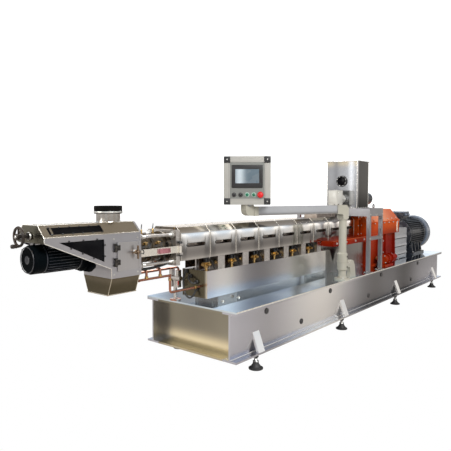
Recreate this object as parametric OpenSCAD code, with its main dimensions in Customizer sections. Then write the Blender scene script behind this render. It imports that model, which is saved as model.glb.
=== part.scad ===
// Twin-screw food extruder on a skid base, with a hot-face cutter, a screw feeder
// and a swinging operator panel. Millimetres. +X runs from the cutter to the main
// motor, +Y to the rear, +Z up. The origin is on the floor, below the deck's centre
// and in the barrel's own vertical plane.

/* [Base frame] */
// Width of the deck plate
deck_w = 750; // [700:10:820]
// Thickness of the deck plate
deck_t = 10; // [8:1:14]
// Height of the deck's top above the floor
deck_z = 400; // [380:5:440]
// Clear height below the side beams
floor_clear = 100; // [90:5:120]
// Width of the side beams' flanges
flange_w = 104; // [90:2:120]
// Thickness of the side beams' flanges
flange_t = 12; // [8:1:16]
// Thickness of the beams' webs
web_t = 10; // [6:1:14]
// Bore of the holes through the side beams' webs
web_hole_d = 30; // [20:1:40]
// Distance of the end cross beams' webs from the deck's ends
end_recess = 80; // [60:5:120]
// Length of deck beyond the main motor's feet
deck_margin = 100; // [60:10:160]

/* [Levelling feet] */
// Levelling feet along each side
foot_n = 4; // [3:1:5]
// Diameter of a foot's pad
pad_d = 88; // [70:2:110]
// Height of a foot's bell-shaped pad
pad_h = 46; // [36:1:50]
// Diameter of a foot's threaded stem
stem_d = 20; // [16:1:24]
// Distance of the feet from the deck's long edges
foot_edge = 46; // [44:1:60]
// Distance of the first foot from the deck's cutter end
foot_first = 252; // [200:2:320]
// Distance of the last foot from the deck's motor end
foot_last = 199; // [160:1:260]
// Width of the sloped brace above each foot
brace_w = 65; // [50:1:80]
// Thickness of the sloped brace, measured level
brace_t = 16; // [10:1:20]
// Height of the sloped brace above the lower flange
brace_h = 121; // [90:1:140]

/* [Barrel and screws] */
// Length of one barrel segment
seg_l = 250; // [240:2:260]
// Number of barrel segments
seg_n = 9; // [8:1:10]
// Height of the screws' axes above the floor
axis_z = 770; // [760:2:790]
// Distance between the two screws' axes
screw_pitch = 52; // [50:1:54]
// Diameter of each barrel bore
barrel_bore_d = 62.6; // [60:0.1:64]
// Radial gap between screw tips and the barrel bore
screw_gap = 0.8; // [0.5:0.1:1.5]
// Width of the barrel block
barrel_w = 170; // [160:2:180]
// Height of the barrel block
barrel_h = 126; // [116:2:130]
// Thickness of a segment's end flanges
seg_flange_t = 20; // [16:1:26]
// Width of a segment's end flanges
seg_flange_w = 200; // [190:2:206]
// Height of a segment's end flanges
seg_flange_h = 136; // [132:1:138]
// Length of barrel that stands out over the deck's cutter end
head_overhang = 184; // [160:2:220]

/* [Barrel covers] */
// Width over the two rows of covers
cover_w = 244; // [236:2:260]
// Height of the covers' lower edge above the floor
cover_low_z = 690; // [680:1:696]
// Height of the covers' flat top above the floor
cover_top_z = 881; // [876:1:890]
// Size of the covers' sloped shoulder
cover_chamfer = 36; // [30:1:44]
// Sheet thickness of the covers
cover_t = 3; // [2:0.5:4]
// Gap between neighbouring covers
cover_gap = 3; // [2:0.5:6]
// Length of a cover's hand slot
slot_l = 152; // [120:2:180]
// Height of a cover's hand slot
slot_h = 20; // [16:1:28]

/* [Support beam] */
// Width of the support beam
beam_w = 210; // [190:2:230]
// Height of the support beam's top above the floor
beam_top_z = 602; // [590:1:640]
// Height of the support beam's section
beam_h = 169; // [140:1:180]
// Wall of the support beam
beam_t = 6; // [4:1:10]
// Distance of the support beam from the deck's cutter end
beam_start = 58; // [40:2:100]
// Width of a barrel saddle along the machine
saddle_l = 66; // [50:1:80]

/* [Cutter] */
// Width of the cutter hood
hood_w = 232; // [226:2:240]
// Length of the cutter hood
hood_l = 528; // [520:2:560]
// Height of the hood's flat top above the floor
hood_top_z = 925; // [915:1:935]
// Size of the hood's sloped shoulders
hood_chamfer = 52; // [46:1:58]
// Sheet thickness of the hood
hood_t = 4; // [3:0.5:5]
// Length of the cutting chamber
chamber_l = 176; // [170:2:190]
// Height of the chute's outlet above the floor
chute_low_z = 560; // [530:2:580]
// Width of the chute's outlet
chute_low_w = 163; // [140:1:180]
// Diameter of the exhaust collar
exhaust_d = 121; // [110:1:126]
// Diameter of the rubber band on the exhaust collar
exhaust_band_d = 141; // [134:1:150]
// Radius of the cutter motor
cutter_r = 66; // [60:1:68]
// Travel of the knife away from the die
cutter_travel = 20; // [10:1:22]
// Travel of the knife for one turn of the handwheel
lead = 5; // [4:1:10]
// Radius of the handwheel's rim
wheel_r = 41; // [34:1:44]

/* [Gearbox and main motor] */
// Length of the gearbox
gear_l = 810; // [780:5:840]
// Width of the gearbox
gear_w = 430; // [400:2:450]
// Height of the gearbox's top above the floor
gear_top_z = 930; // [915:1:940]
// Length of the lantern between barrel and gearbox
lantern_l = 84; // [80:1:100]
// Distance between the gearbox and the main motor's flange
coupling_l = 430; // [420:2:460]
// Radius over the main motor's fins
motor_r = 200; // [190:1:204]
// Height of the main motor's shaft above the deck
motor_shaft_h = 220; // [216:1:230]
// Length of the main motor's feet
motor_foot_l = 360; // [330:2:380]
// Number of cooling fins round the main motor
fin_n = 48; // [36:2:60]

/* [Feeder] */
// Length of the hopper along the machine
hopper_l = 240; // [224:2:244]
// Width of the hopper
hopper_w = 286; // [270:2:300]
// Height of the hopper's rim above the floor
hopper_top_z = 1373; // [1330:1:1420]
// Height of the feeder table's top above the floor
table_z = 953; // [948:1:960]
// Height of the feed screw's axis above the table
feed_axis_h = 82; // [78:1:90]
// Diameter of the feed screw's flight
feed_screw_d = 64; // [56:1:66]
// Side of the feeder stand's square legs
leg_s = 30; // [26:1:36]

/* [Operator panel] */
// Diameter of the panel's post
post_d = 60; // [50:1:66]
// Height of the arm's axis above the floor
arm_z = 956; // [952:1:962]
// Reach of the arm from the post to the panel's swivel
arm_reach = 965; // [900:5:1000]
// Height of the arm's section
arm_h = 60; // [50:1:64]
// Direction of the parked arm, from the machine's axis
arm_turn = 14.5; // [10:0.5:18]
// Direction that the panel faces, from the machine's axis
panel_turn = 36; // [30:1:45]
// Width of the panel
panel_w = 310; // [300:1:340]
// Height of the panel
panel_h = 320; // [310:1:350]
// Depth of the panel
panel_d = 90; // [80:1:110]

/* [Hidden] */
$fn = 48;
eps = 0.3;        // seat between pieces that move apart
run_fit = 0.05;   // radial running fit of shafts and pins
over = 2;         // overrun of every cut
pin_r = 5;        // hinge pins

// Places along the machine, all from the deck's cutter end
motor_foot_gap = 90;
deck_l = seg_n * seg_l - head_overhang + lantern_l + gear_l + coupling_l
  + motor_foot_gap + motor_foot_l + deck_margin;
deck_x0 = -deck_l / 2;
deck_x1 = deck_l / 2;
deck_y = deck_w / 2;
deck_low = deck_z - deck_t;
barrel_x0 = deck_x0 - head_overhang;
barrel_x1 = barrel_x0 + seg_n * seg_l;
gear_x0 = barrel_x1 + lantern_l;
gear_x1 = gear_x0 + gear_l;
motor_x0 = gear_x1 + coupling_l;
foot_x0 = motor_x0 + motor_foot_gap;
motor_z = deck_z + motor_shaft_h;
beam_y = deck_y - flange_w / 2;

// A box between two corners
module box(x0, x1, y0, y1, z0, z1) {
  translate([x0, y0, z0]) cube([x1 - x0, y1 - y0, z1 - z0]);
}
// A round bar along X, Y or Z
module rod_x(x0, x1, r, y, z) {
  translate([x0, y, z]) rotate([0, 90, 0]) cylinder(h = x1 - x0, r = r);
}
module rod_y(y0, y1, r, x, z) {
  translate([x, y1, z]) rotate([90, 0, 0]) cylinder(h = y1 - y0, r = r);
}
module rod_z(z0, z1, r, x, y) {
  translate([x, y, z0]) cylinder(h = z1 - z0, r = r);
}
// An outline in X and Z, made thick along Y
module slab_y(points, y0, y1) {
  translate([0, y1, 0]) rotate([90, 0, 0]) linear_extrude(y1 - y0) polygon(points);
}
// An outline in Y and Z, made long along X
module slab_x(points, x0, x1) {
  translate([x0, 0, 0]) rotate([90, 0, 90]) linear_extrude(x1 - x0) polygon(points);
}
// A profile of radius and height, turned about an axis along X
module turned_x(points, x, y, z) {
  translate([x, y, z]) rotate([0, 90, 0]) rotate_extrude() polygon(points);
}
// A round tube swept along a route of points, as one closed skin
function unit(v) = v / norm(v);
function along(p, i) = unit(p[min(i + 1, len(p) - 1)] - p[max(i - 1, 0)]);
function ring(c, t, r, up, n) = let (a = unit(cross(t, up))) [for (k = [0:n - 1])
  c + r * (cos(360 * k / n) * a + sin(360 * k / n) * cross(t, a))];
module swept(route, r, up = [0, 1, 0], n = 8) {
  m = len(route);
  rings = [for (i = [0:m - 1]) ring(route[i], along(route, i), r, up, n)];
  points = [for (rg = rings) each rg];
  sides = [for (i = [0:m - 2], k = [0:n - 1])
    [i * n + k, (i + 1) * n + k, (i + 1) * n + (k + 1) % n, i * n + (k + 1) % n]];
  polyhedron(points, concat([[for (k = [0:n - 1]) k]], sides,
    [[for (k = [1:n]) m * n - k]]));
}
// A smooth curve through four control points, in even steps
function bend(a, b, c, d, n) = [for (i = [0:n]) let (t = i / n, s = 1 - t)
  s * s * s * a + 3 * s * s * t * b + 3 * s * t * t * c + t * t * t * d];

// Base frame
upper_hole_shares = [0.093, 0.309, 0.563, 0.821];
lower_hole_shares = [0.201, 0.492, 0.769];
upper_hole_drop = 63;   // from the deck's top
lower_hole_rise = 86;   // from the beam's underside
module side_beam(side) {
  y = side * beam_y;
  difference() {
    union() {
      box(deck_x0, deck_x1, y - web_t / 2, y + web_t / 2,
        floor_clear + flange_t, deck_low - flange_t);
      for (z = [floor_clear, deck_low - flange_t])
        box(deck_x0, deck_x1, y - flange_w / 2, y + flange_w / 2, z, z + flange_t);
    }
    for (s = upper_hole_shares)
      rod_y(y - web_t, y + web_t, web_hole_d / 2, deck_x0 + s * deck_l,
        deck_z - upper_hole_drop);
    for (s = lower_hole_shares)
      rod_y(y - web_t, y + web_t, web_hole_d / 2, deck_x0 + s * deck_l,
        floor_clear + lower_hole_rise);
  }
}
module front_beam() { color([0.74, 0.74, 0.78]) side_beam(-1); }
module rear_beam() { color([0.74, 0.74, 0.78]) side_beam(1); }

// One cross beam: a web coped round the side beams, with flanges on one side or both
cross_flange_w = 90;
module cross_beam(x, from, to) {
  inner = beam_y - flange_w / 2;
  box(x - web_t / 2, x + web_t / 2, -beam_y + web_t / 2, beam_y - web_t / 2,
    floor_clear + flange_t, deck_low - flange_t);
  for (z = [floor_clear, deck_low - flange_t])
    box(from, to, -inner, inner, z, z + flange_t);
}
module cross_beams() {
  color([0.72, 0.7, 0.66]) {
    cross_beam(deck_x0 + end_recess, deck_x0, deck_x0 + end_recess + web_t / 2);
    cross_beam(deck_x1 - end_recess, deck_x1 - end_recess - web_t / 2, deck_x1);
    for (share = [1 / 3, 2 / 3]) {
      x = deck_x0 + share * deck_l;
      cross_beam(x, x - cross_flange_w / 2, x + cross_flange_w / 2);
    }
  }
}
module deck_plate() {
  color([0.8, 0.82, 0.86]) box(deck_x0, deck_x1, -deck_y, deck_y, deck_low, deck_z);
}

// Feet: a bell pad, a threaded stem, its lock nut and the welded boss over it
foot_step = (deck_l - foot_first - foot_last) / (foot_n - 1);
foot_xs = [for (i = [0:foot_n - 1]) deck_x0 + foot_first + i * foot_step];
pad_rim_h = 8;
nut_h = 16;
nut_across = 34;
boss_h = 12;
boss_d = 40;
module foot(x, y) {
  translate([x, y, 0]) {
    rotate_extrude() polygon([
      [0, 0], [pad_d / 2, 0], [pad_d / 2, pad_rim_h], [pad_d * 0.36, pad_h * 0.36],
      [pad_d * 0.24, pad_h * 0.66], [stem_d * 0.8, pad_h], [stem_d / 2, pad_h],
      [stem_d / 2, floor_clear], [0, floor_clear]]);
    translate([0, 0, floor_clear - boss_h]) cylinder(h = boss_h, d = boss_d);
    translate([0, 0, floor_clear - boss_h - nut_h])
      cylinder(h = nut_h, d = nut_across, $fn = 6);
  }
}
module levelling_feet() {
  color([0.16, 0.16, 0.17])
    for (x = foot_xs, s = [-1, 1]) foot(x, s * (deck_y - foot_edge));
}
module foot_brackets() {
  z = floor_clear + flange_t;
  web_y = beam_y + web_t / 2;
  reach = deck_y - web_y;
  inner_h = brace_h * (reach - brace_t) / reach;
  color([0.85, 0.84, 0.82])
    for (x = foot_xs, s = [-1, 1]) mirror([0, (1 - s) / 2, 0])
      slab_x([[deck_y, z], [web_y, z + brace_h], [web_y, z + inner_h],
        [deck_y - brace_t, z]], x - brace_w / 2, x + brace_w / 2);
}

// Support beam under the barrel, closed by end plates
beam_x0 = deck_x0 + beam_start;
beam_x1 = barrel_x0 + (seg_n - 2) * seg_l - saddle_l / 6;
beam_low_z = beam_top_z - beam_h;
module support_beam() {
  w = beam_w / 2;
  color([0.78, 0.78, 0.82]) {
    difference() {
      box(beam_x0 + beam_t, beam_x1 - beam_t, -w, w, beam_low_z, beam_top_z);
      box(beam_x0, beam_x1, -w + beam_t, w - beam_t,
        beam_low_z + beam_t, beam_top_z - beam_t);
    }
    for (x = [beam_x0, beam_x1 - beam_t])
      box(x, x + beam_t, -w, w, beam_low_z, beam_top_z);
  }
}

// Pedestals on the deck: under the beam's two ends and under the lantern's shelf
pedestal_l = 190;
pedestal_start = 166;
end_pedestal_l = 195;
end_pedestal_top_share = 0.42;
shelf_stand_l = 450;
shelf_stand_w = 350;
shelf_low_z = 645;
shelf_top_z = 689;
stand_t = 6;
module pedestals() {
  w = beam_w / 2 - beam_t;
  color([0.66, 0.64, 0.6]) {
    box(deck_x0 + pedestal_start, deck_x0 + pedestal_start + pedestal_l,
      -w, w, deck_z, beam_low_z);
    slab_y([[beam_x1, deck_z], [beam_x1 + end_pedestal_l, deck_z],
      [beam_x1 + end_pedestal_l * end_pedestal_top_share, beam_top_z],
      [beam_x1, beam_top_z]], -w, w);
    difference() {
      box(gear_x0 - shelf_stand_l, gear_x0, -shelf_stand_w / 2, shelf_stand_w / 2,
        deck_z, shelf_low_z);
      box(gear_x0 - shelf_stand_l + stand_t, gear_x0 - stand_t,
        -shelf_stand_w / 2 + stand_t, shelf_stand_w / 2 - stand_t,
        deck_z - over, shelf_low_z - stand_t);
    }
  }
}

// Barrel: flanged segments with the two bores, each with bridges that carry the covers
barrel_low_z = axis_z - barrel_h / 2;
bridge_t = 12;
bridge_w = 2 * (cover_w / 2 - cover_chamfer - 2 * cover_t);
port_seg_share = 0.8;                          // the opening's place in its segment
port_x = barrel_x0 + (seg_n - 2 + port_seg_share) * seg_l;
port_l = 66;
port_w = 60;
neck_wall = 4;
neck_w = port_w + 8 * neck_wall;
neck_z = axis_z + seg_flange_h / 2;
vent_neck_l = 56;
vent_x = barrel_x0 + (seg_n - 2) * seg_l - seg_flange_t - vent_neck_l / 2;
module neck(x, l, z0, z1) { box(x - l / 2, x + l / 2, -neck_w / 2, neck_w / 2, z0, z1); }
function seg_mid(i) = barrel_x0 + (i + 0.5) * seg_l;
module bores(x0, x1, r) {
  for (s = [-1, 1]) rod_x(x0, x1, r, s * screw_pitch / 2, axis_z);
}
module barrel_segment(i) {
  x0 = barrel_x0 + i * seg_l;
  x1 = x0 + seg_l;
  difference() {
    union() {
      box(x0, x1, -barrel_w / 2, barrel_w / 2, barrel_low_z, axis_z + barrel_h / 2);
      for (x = [x0, x1 - seg_flange_t])
        box(x, x + seg_flange_t, -seg_flange_w / 2, seg_flange_w / 2,
          axis_z - seg_flange_h / 2, axis_z + seg_flange_h / 2);
      for (x = [x0, x1 - bridge_t])
        box(x, x + bridge_t, -bridge_w / 2, bridge_w / 2,
          axis_z, cover_top_z - lip_w - eps);
      if (i == seg_n - 2) neck(port_x, port_l + 2 * neck_wall, axis_z, neck_z);
      if (i == seg_n - 3) neck(vent_x, vent_neck_l, axis_z, neck_z);
    }
    bores(x0 - over, x1 + over, barrel_bore_d / 2);
    if (i == seg_n - 2)
      box(port_x - port_l / 2, port_x + port_l / 2, -port_w / 2, port_w / 2,
        axis_z, cover_top_z);
  }
}
module barrel_segments() {
  color([0.45, 0.43, 0.42]) for (i = [0:seg_n - 1]) barrel_segment(i);
}
// Saddles: one under the middle of each segment, on the beam or on the lantern's shelf
module barrel_saddles() {
  color([0.62, 0.63, 0.66]) {
    for (i = [1:seg_n - 3])
      box(seg_mid(i) - saddle_l / 2, seg_mid(i) + saddle_l / 2,
        -beam_w / 2, beam_w / 2, beam_top_z, barrel_low_z);
    for (i = [seg_n - 2, seg_n - 1])
      box(seg_mid(i) - saddle_l / 2, seg_mid(i) + saddle_l / 2,
        -barrel_w / 2, barrel_w / 2, shelf_top_z, barrel_low_z);
  }
}

// Feed and vent block on top of the barrel
feed_block_l = 330;
feed_block_w = 120;
feed_block_h = 39;
feed_block_end = 44;
feed_block_x1 = port_x + feed_block_end;
feed_block_x0 = feed_block_x1 - feed_block_l;
feed_block_z = cover_top_z + eps + feed_block_h;
vent_bolt_r = 9;
vent_plug_r = 20;
module feed_port() {
  color([0.5, 0.45, 0.4]) difference() {
    union() {
      box(feed_block_x0, feed_block_x1, -feed_block_w / 2, feed_block_w / 2,
        cover_top_z + eps, feed_block_z);
      neck(port_x, port_l + 2 * neck_wall, neck_z, feed_block_z);
      neck(vent_x, vent_neck_l, neck_z, feed_block_z);
      for (s = [-1, 1])
        rod_z(feed_block_z, feed_block_z + vent_bolt_r * 1.5, vent_bolt_r,
          vent_x, s * 2 * vent_plug_r);
      rod_z(feed_block_z, feed_block_z + vent_plug_r, vent_plug_r, vent_x, 0);
    }
    box(port_x - port_l / 2, port_x + port_l / 2, -port_w / 2, port_w / 2,
      axis_z, feed_block_z + over);
  }
}

// Screws: two-lobed and self-wiping, a quarter turn apart. Between its root and its
// tip, a lobe's flank is an arc about the far tip's edge, whose radius is the
// distance between the axes.
screw_r = barrel_bore_d / 2 - screw_gap;
wipe_r = screw_pitch - screw_gap;
screw_core_r = wipe_r - screw_r;
tip_half = 45 - acos(wipe_r / 2 / screw_r);
screw_lead = 100;
core_rod_r = screw_core_r - 0.5;
screw_shaft_r = 17;
lead_steps = 12;
flank_steps = 3;
feed_leads = 3;
die_leads = 2;
knead_n = 5;
knead_t = 14;
knead_turn = 45;
knead_starts = [0.3, 0.45, 0.6];
screw_tip_l = 12;
journal_l = 70;
function flank(f) = sqrt(pow(wipe_r, 2) - pow(screw_r * sin(f - tip_half), 2))
  - screw_r * cos(f - tip_half);
quarter = concat([for (i = [0:flank_steps])
  let (f = tip_half + i * (90 - 2 * tip_half) / flank_steps) [flank(f), f]]);
function polar(p, a) = [p[0] * cos(a), p[0] * sin(a)];
lobe = [for (turn = [0, 180]) each concat(
  [for (q = quarter) polar(q, turn + q[1])],
  [for (i = [flank_steps:-1:0]) polar(quarter[i], turn + 180 - quarter[i][1])])];
module lobe_prism(x, l, turn, twist = 0) {
  translate([x, 0, 0]) rotate([0, 90, 0]) rotate(turn)
    linear_extrude(l, twist = twist, $fn = len(lobe),
      slices = max(1, round(abs(twist) / 360 * lead_steps)))
      polygon(lobe);
}
module screw(side, turn) {
  x0 = barrel_x0;
  feed_x0 = barrel_x1 - seg_l - feed_leads * screw_lead;
  die_x1 = x0 + die_leads * screw_lead;
  kneads = [for (s = knead_starts) x0 + s * (barrel_x1 - x0)];
  knead_l = knead_n * knead_t;
  ends = concat([for (k = kneads) k], [feed_x0]);
  starts = concat([die_x1], [for (k = kneads) k + knead_l]);
  translate([0, side * screw_pitch / 2, axis_z]) {
    translate([x0, 0, 0]) rotate([0, -90, 0])
      cylinder(h = screw_tip_l, r1 = core_rod_r, r2 = core_rod_r / 3);
    lobe_prism(x0, die_x1 - x0, turn, -360 * die_leads);
    for (i = [0:len(ends) - 1]) rod_x(starts[i], ends[i], core_rod_r, 0, 0);
    for (k = kneads, i = [0:knead_n - 1])
      lobe_prism(k + i * knead_t, knead_t, turn + i * knead_turn);
    lobe_prism(feed_x0, feed_leads * screw_lead, turn, -360 * feed_leads);
    rod_x(barrel_x1 - seg_l, barrel_x1, core_rod_r, 0, 0);
    rod_x(barrel_x1, gear_x0 + journal_l, screw_shaft_r, 0, 0);
  }
}
module screw_front() { color([0.6, 0.6, 0.62]) screw(-1, 0); }
module screw_rear() { color([0.6, 0.6, 0.62]) screw(1, 90); }

// Covers: one half of a pair, a bent sheet with a sloped shoulder and end lips
lip_w = 14;
slot_z = 777;
module cover_profile(inset) {
  w = cover_w / 2 - inset;
  top = cover_top_z - inset;
  k = cover_chamfer - inset * (2 - sqrt(2));
  polygon([[-w, cover_low_z], [-w, top - k], [-w + k, top], [-eps, top], [-eps, cover_low_z]]);
}
module half_cover(i) {
  x0 = barrel_x0 + i * seg_l + cover_gap / 2;
  x1 = x0 + seg_l - cover_gap;
  mid = (x0 + x1) / 2;
  difference() {
    translate([x0, 0, 0]) rotate([90, 0, 90]) linear_extrude(x1 - x0) cover_profile(0);
    translate([x0 + cover_t, 0, 0]) rotate([90, 0, 90])
      linear_extrude(x1 - x0 - 2 * cover_t) cover_open(cover_t);
    translate([x0 - over, 0, 0]) rotate([90, 0, 90])
      linear_extrude(x1 - x0 + 2 * over) cover_open(lip_w);
    box(mid - slot_l / 2 + slot_h / 2, mid + slot_l / 2 - slot_h / 2,
      -cover_w / 2 - over, -cover_w / 2 + lip_w, slot_z - slot_h / 2, slot_z + slot_h / 2);
    for (s = [-1, 1])
      rod_y(-cover_w / 2 - over, -cover_w / 2 + lip_w, slot_h / 2,
        mid + s * (slot_l - slot_h) / 2, slot_z);
    box(feed_block_x0 - cover_t, feed_block_x1 + cover_t, -feed_block_w / 2 - cover_t, 0,
      cover_top_z - lip_w - over, cover_top_z + over);
  }
}
// The space inside a cover, open below and towards the middle
module cover_open(inset) {
  w = cover_w / 2 - inset;
  top = cover_top_z - inset;
  k = cover_chamfer - inset * (2 - sqrt(2));
  polygon([[-w, cover_low_z - over], [-w, top - k], [-w + k, top], [over, top],
    [over, cover_low_z - over]]);
}
module barrel_cover(i) { color([0.88, 0.86, 0.85]) half_cover(i - 1); }
module rear_covers() {
  color([0.88, 0.86, 0.85]) for (i = [0:seg_n - 1]) mirror([0, 1, 0]) half_cover(i);
}

// Head: end plate, tie rods, die head, and the plate that carries the hood
end_plate_t = 32;
end_plate_w = 232;
end_plate_z0 = 667;
end_plate_z1 = 865;
head_gap = 251;      // between the end plate and the head plate
head_plate_t = 12;
rod_r = 9;
rod_y_at = 95;
rod_zs = [692, 841];
rod_nut_l = 14;
rod_nut_across = 32;
plate_x0 = barrel_x0 - end_plate_t;
head_x1 = plate_x0 - head_gap;
head_x0 = head_x1 - head_plate_t;
pivot_out = 12;
pivot_in = 20;
pivot_y = end_plate_w / 2 + pivot_out;
pivot_x = plate_x0 + pivot_in;
bar_h = 38;
bar_t = 10;
bar_z = 760;
ear_t = 12;
module head_frame() {
  color([0.72, 0.73, 0.76]) {
    difference() {
      union() {
        box(plate_x0, barrel_x0, -end_plate_w / 2, end_plate_w / 2,
          end_plate_z0, end_plate_z1);
        for (z = [bar_z - bar_h / 2 - eps - ear_t, bar_z + bar_h / 2 + eps])
          box(pivot_x - ear_t, pivot_x + ear_t, -pivot_y - ear_t, -end_plate_w / 2,
            z, z + ear_t);
      }
      bores(plate_x0 - over, barrel_x0 + over, barrel_bore_d / 2);
    }
    rod_z(bar_z - bar_h / 2 - eps - ear_t, bar_z + bar_h / 2 + eps + ear_t, pin_r,
      pivot_x, -pivot_y);
    for (y = [-rod_y_at, rod_y_at], z = rod_zs) {
      rod_x(head_x1, plate_x0, rod_r, y, z);
      for (x = [head_x1, plate_x0 - rod_nut_l])
        translate([x, y, z]) rotate([0, 90, 0])
          cylinder(h = rod_nut_l, d = rod_nut_across, $fn = 6);
    }
  }
}
adaptor_r = 88;
adaptor_l = 30;
die_body_r = 74;
die_r = 90;
die_l = 40;
die_clear = 3;
die_hole_r = 3;
die_hole_n = 12;
die_hole_pcd = 100;
melt_r = 30;
module die_head() {
  color([0.12, 0.11, 0.11]) difference() {
    union() {
      rod_x(plate_x0 - adaptor_l, plate_x0, adaptor_r, 0, axis_z);
      rod_x(head_x0 + die_l, plate_x0 - adaptor_l, die_body_r, 0, axis_z);
    }
    rod_x(head_x0 + die_l - over, plate_x0 + over, melt_r * 1.9, 0, axis_z);
  }
  color([0.5, 0.48, 0.46]) difference() {
    rod_x(head_x0, head_x0 + die_l, die_r, 0, axis_z);
    for (i = [0:die_hole_n - 1])
      rod_x(head_x0 - over, head_x0 + die_l + over, die_hole_r,
        die_hole_pcd / 2 * cos(360 / die_hole_n * i),
        axis_z + die_hole_pcd / 2 * sin(360 / die_hole_n * i));
  }
}
hood_low_z = 650;
hinge_out = 14;
hinge_y = hood_w / 2 + hinge_out;
hinge_r = 11;
hinge_zs = [700, 830];
hinge_h = 40;
function hood_line(inset, low) = let (w = hood_w / 2 - inset, top = hood_top_z - inset,
  k = hood_chamfer - inset * (2 - sqrt(2)))
  [[-w, low], [-w, top - k], [-w + k, top], [w - k, top], [w, top - k], [w, low]];
module head_plate() {
  color([0.7, 0.7, 0.74]) {
    difference() {
      union() {
        slab_x(hood_line(0, hood_low_z), head_x0, head_x1);
        for (z = hinge_zs, k = [0, 2]) {
          box(head_x0, head_x1, hood_w / 2, hinge_y, z + k * hinge_h / 3,
            z + (k + 1) * hinge_h / 3);
          rod_z(z + k * hinge_h / 3, z + (k + 1) * hinge_h / 3, hinge_r,
            head_x0, hinge_y);
        }
      }
      rod_x(head_x0 - over, head_x1 + over, die_r + die_clear, 0, axis_z);
    }
    for (z = hinge_zs) rod_z(z, z + hinge_h, pin_r, head_x0, hinge_y);
  }
}

// Cutter hood: a bent sheet open below, with a wall between motor bay and chamber
hood_x1 = head_x0 - eps;
hood_x0 = hood_x1 - hood_l;
wall_x = hood_x1 - chamber_l;
nose_low_z = 847;
belly_low_z = 698;
win_ends = [71, 311];        // from the hood's motor end
roof_win_ends = [34, 318];
win_x0 = hood_x0 + win_ends[0];
win_x1 = hood_x0 + win_ends[1];
win_low_z = 738;
win_top_z = 848;
roof_win_x0 = hood_x0 + roof_win_ends[0];
roof_win_x1 = hood_x0 + roof_win_ends[1];
roof_win_share = 0.56;
door_win_ends = [44, 16];    // from the wall and from the head plate
door_win_x0 = wall_x + door_win_ends[0];
door_win_x1 = hood_x1 - door_win_ends[1];
door_win_z0 = 694;
door_win_z1 = 817;
shaft_hole_r = 48;
guide_r = 10;
guide_y = 80;
guide_z = 838;
lead_z = 877;
lead_r = 8;
module hood_walls() {
  difference() {
    intersection() {
      slab_x(hood_line(0, hood_low_z), hood_x0, hood_x1);
      slab_y([[hood_x0, hood_top_z], [hood_x1, hood_top_z], [hood_x1, hood_low_z],
        [wall_x, hood_low_z], [wall_x, belly_low_z], [hood_x0, nose_low_z]],
        -hood_w / 2, hood_w / 2);
    }
    slab_x(hood_line(hood_t, hood_low_z - over), hood_x0 + hood_t, wall_x);
    slab_x(hood_line(hood_t, hood_low_z - over), wall_x + hood_t, hood_x1 + over);
    slab_y([[win_x0, win_top_z], [win_x1, win_top_z], [win_x1, win_low_z]],
      -hood_w, hood_w);
    for (s = [-1, 1])
      translate([0, s * (hood_w / 2 - hood_chamfer / 2), hood_top_z - hood_chamfer / 2])
        rotate([-s * 45, 0, 0])
          box(roof_win_x0, roof_win_x1, -hood_chamfer * roof_win_share / 2 * sqrt(2),
            hood_chamfer * roof_win_share / 2 * sqrt(2), -hood_t * 2, hood_t);
    box(door_win_x0, door_win_x1, -hood_w / 2 - over, -hood_w / 2 + hood_t + over,
      door_win_z0, door_win_z1);
    rod_x(wall_x - over, wall_x + hood_t + over, shaft_hole_r, 0, axis_z);
    rod_x(hood_x0 - over, hood_x0 + hood_t + over, lead_r + run_fit, 0, lead_z);
    rod_z(hood_top_z - hood_t - over, hood_top_z + over, exhaust_r, exhaust_x, 0);
  }
}
hanger_l = 10;
hanger_w = 30;
guide_in = 48;
exhaust_in = 71;
guide_x0 = hood_x0 + guide_in;
exhaust_x = wall_x + exhaust_in;
exhaust_r = exhaust_d / 2 - hood_t;
module cutter_hood() {
  color([0.76, 0.75, 0.78]) {
    difference() {
      union() {
        hood_walls();
        for (z = hinge_zs) {
          box(hood_x1 - head_plate_t, hood_x1, hood_w / 2, hinge_y,
            z + hinge_h / 3 + eps, z + hinge_h * 2 / 3 - eps);
          rod_z(z + hinge_h / 3 + eps, z + hinge_h * 2 / 3 - eps, hinge_r,
            head_x0, hinge_y);
        }
      }
      for (z = hinge_zs)
        rod_z(z - over, z + hinge_h + over, pin_r + run_fit, head_x0, hinge_y);
    }
    for (s = [-1, 1]) {
      rod_x(guide_x0 + hanger_l, wall_x, guide_r, s * guide_y, guide_z);
      mirror([0, (1 - s) / 2, 0])
        slab_x([[hanger_y0, guide_z - hanger_w / 2], [hanger_y1, guide_z - hanger_w / 2],
          [hanger_y1, slope_in - hanger_y1], [hanger_y0, slope_in - hanger_y0]],
          guide_x0, guide_x0 + hanger_l);
    }
    for (z = door_hinge_zs) {
      rod_z(z - door_ear_h, z + door_hinge_h + door_ear_h, door_pin_r,
        door_pin_x, door_pin_y);
      for (k = [z - door_ear_h, z + door_hinge_h + eps])
        union() {
          box(door_pin_x - door_hinge_r, door_pin_x + door_hinge_r,
            door_pin_y, -hood_w / 2, k, k + door_ear_h - eps);
          rod_z(k, k + door_ear_h - eps, door_hinge_r, door_pin_x, door_pin_y);
        }
    }
  }
}
hanger_y0 = guide_y - hanger_w / 2;
hanger_y1 = guide_y + hanger_w / 2;
// Height of the sloped shoulder's inner face above the machine's vertical plane
slope_in = hood_w / 2 - hood_chamfer + hood_top_z - hood_t * sqrt(2);
door_ear_h = 8;
door_pin_r = 2.5;

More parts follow.
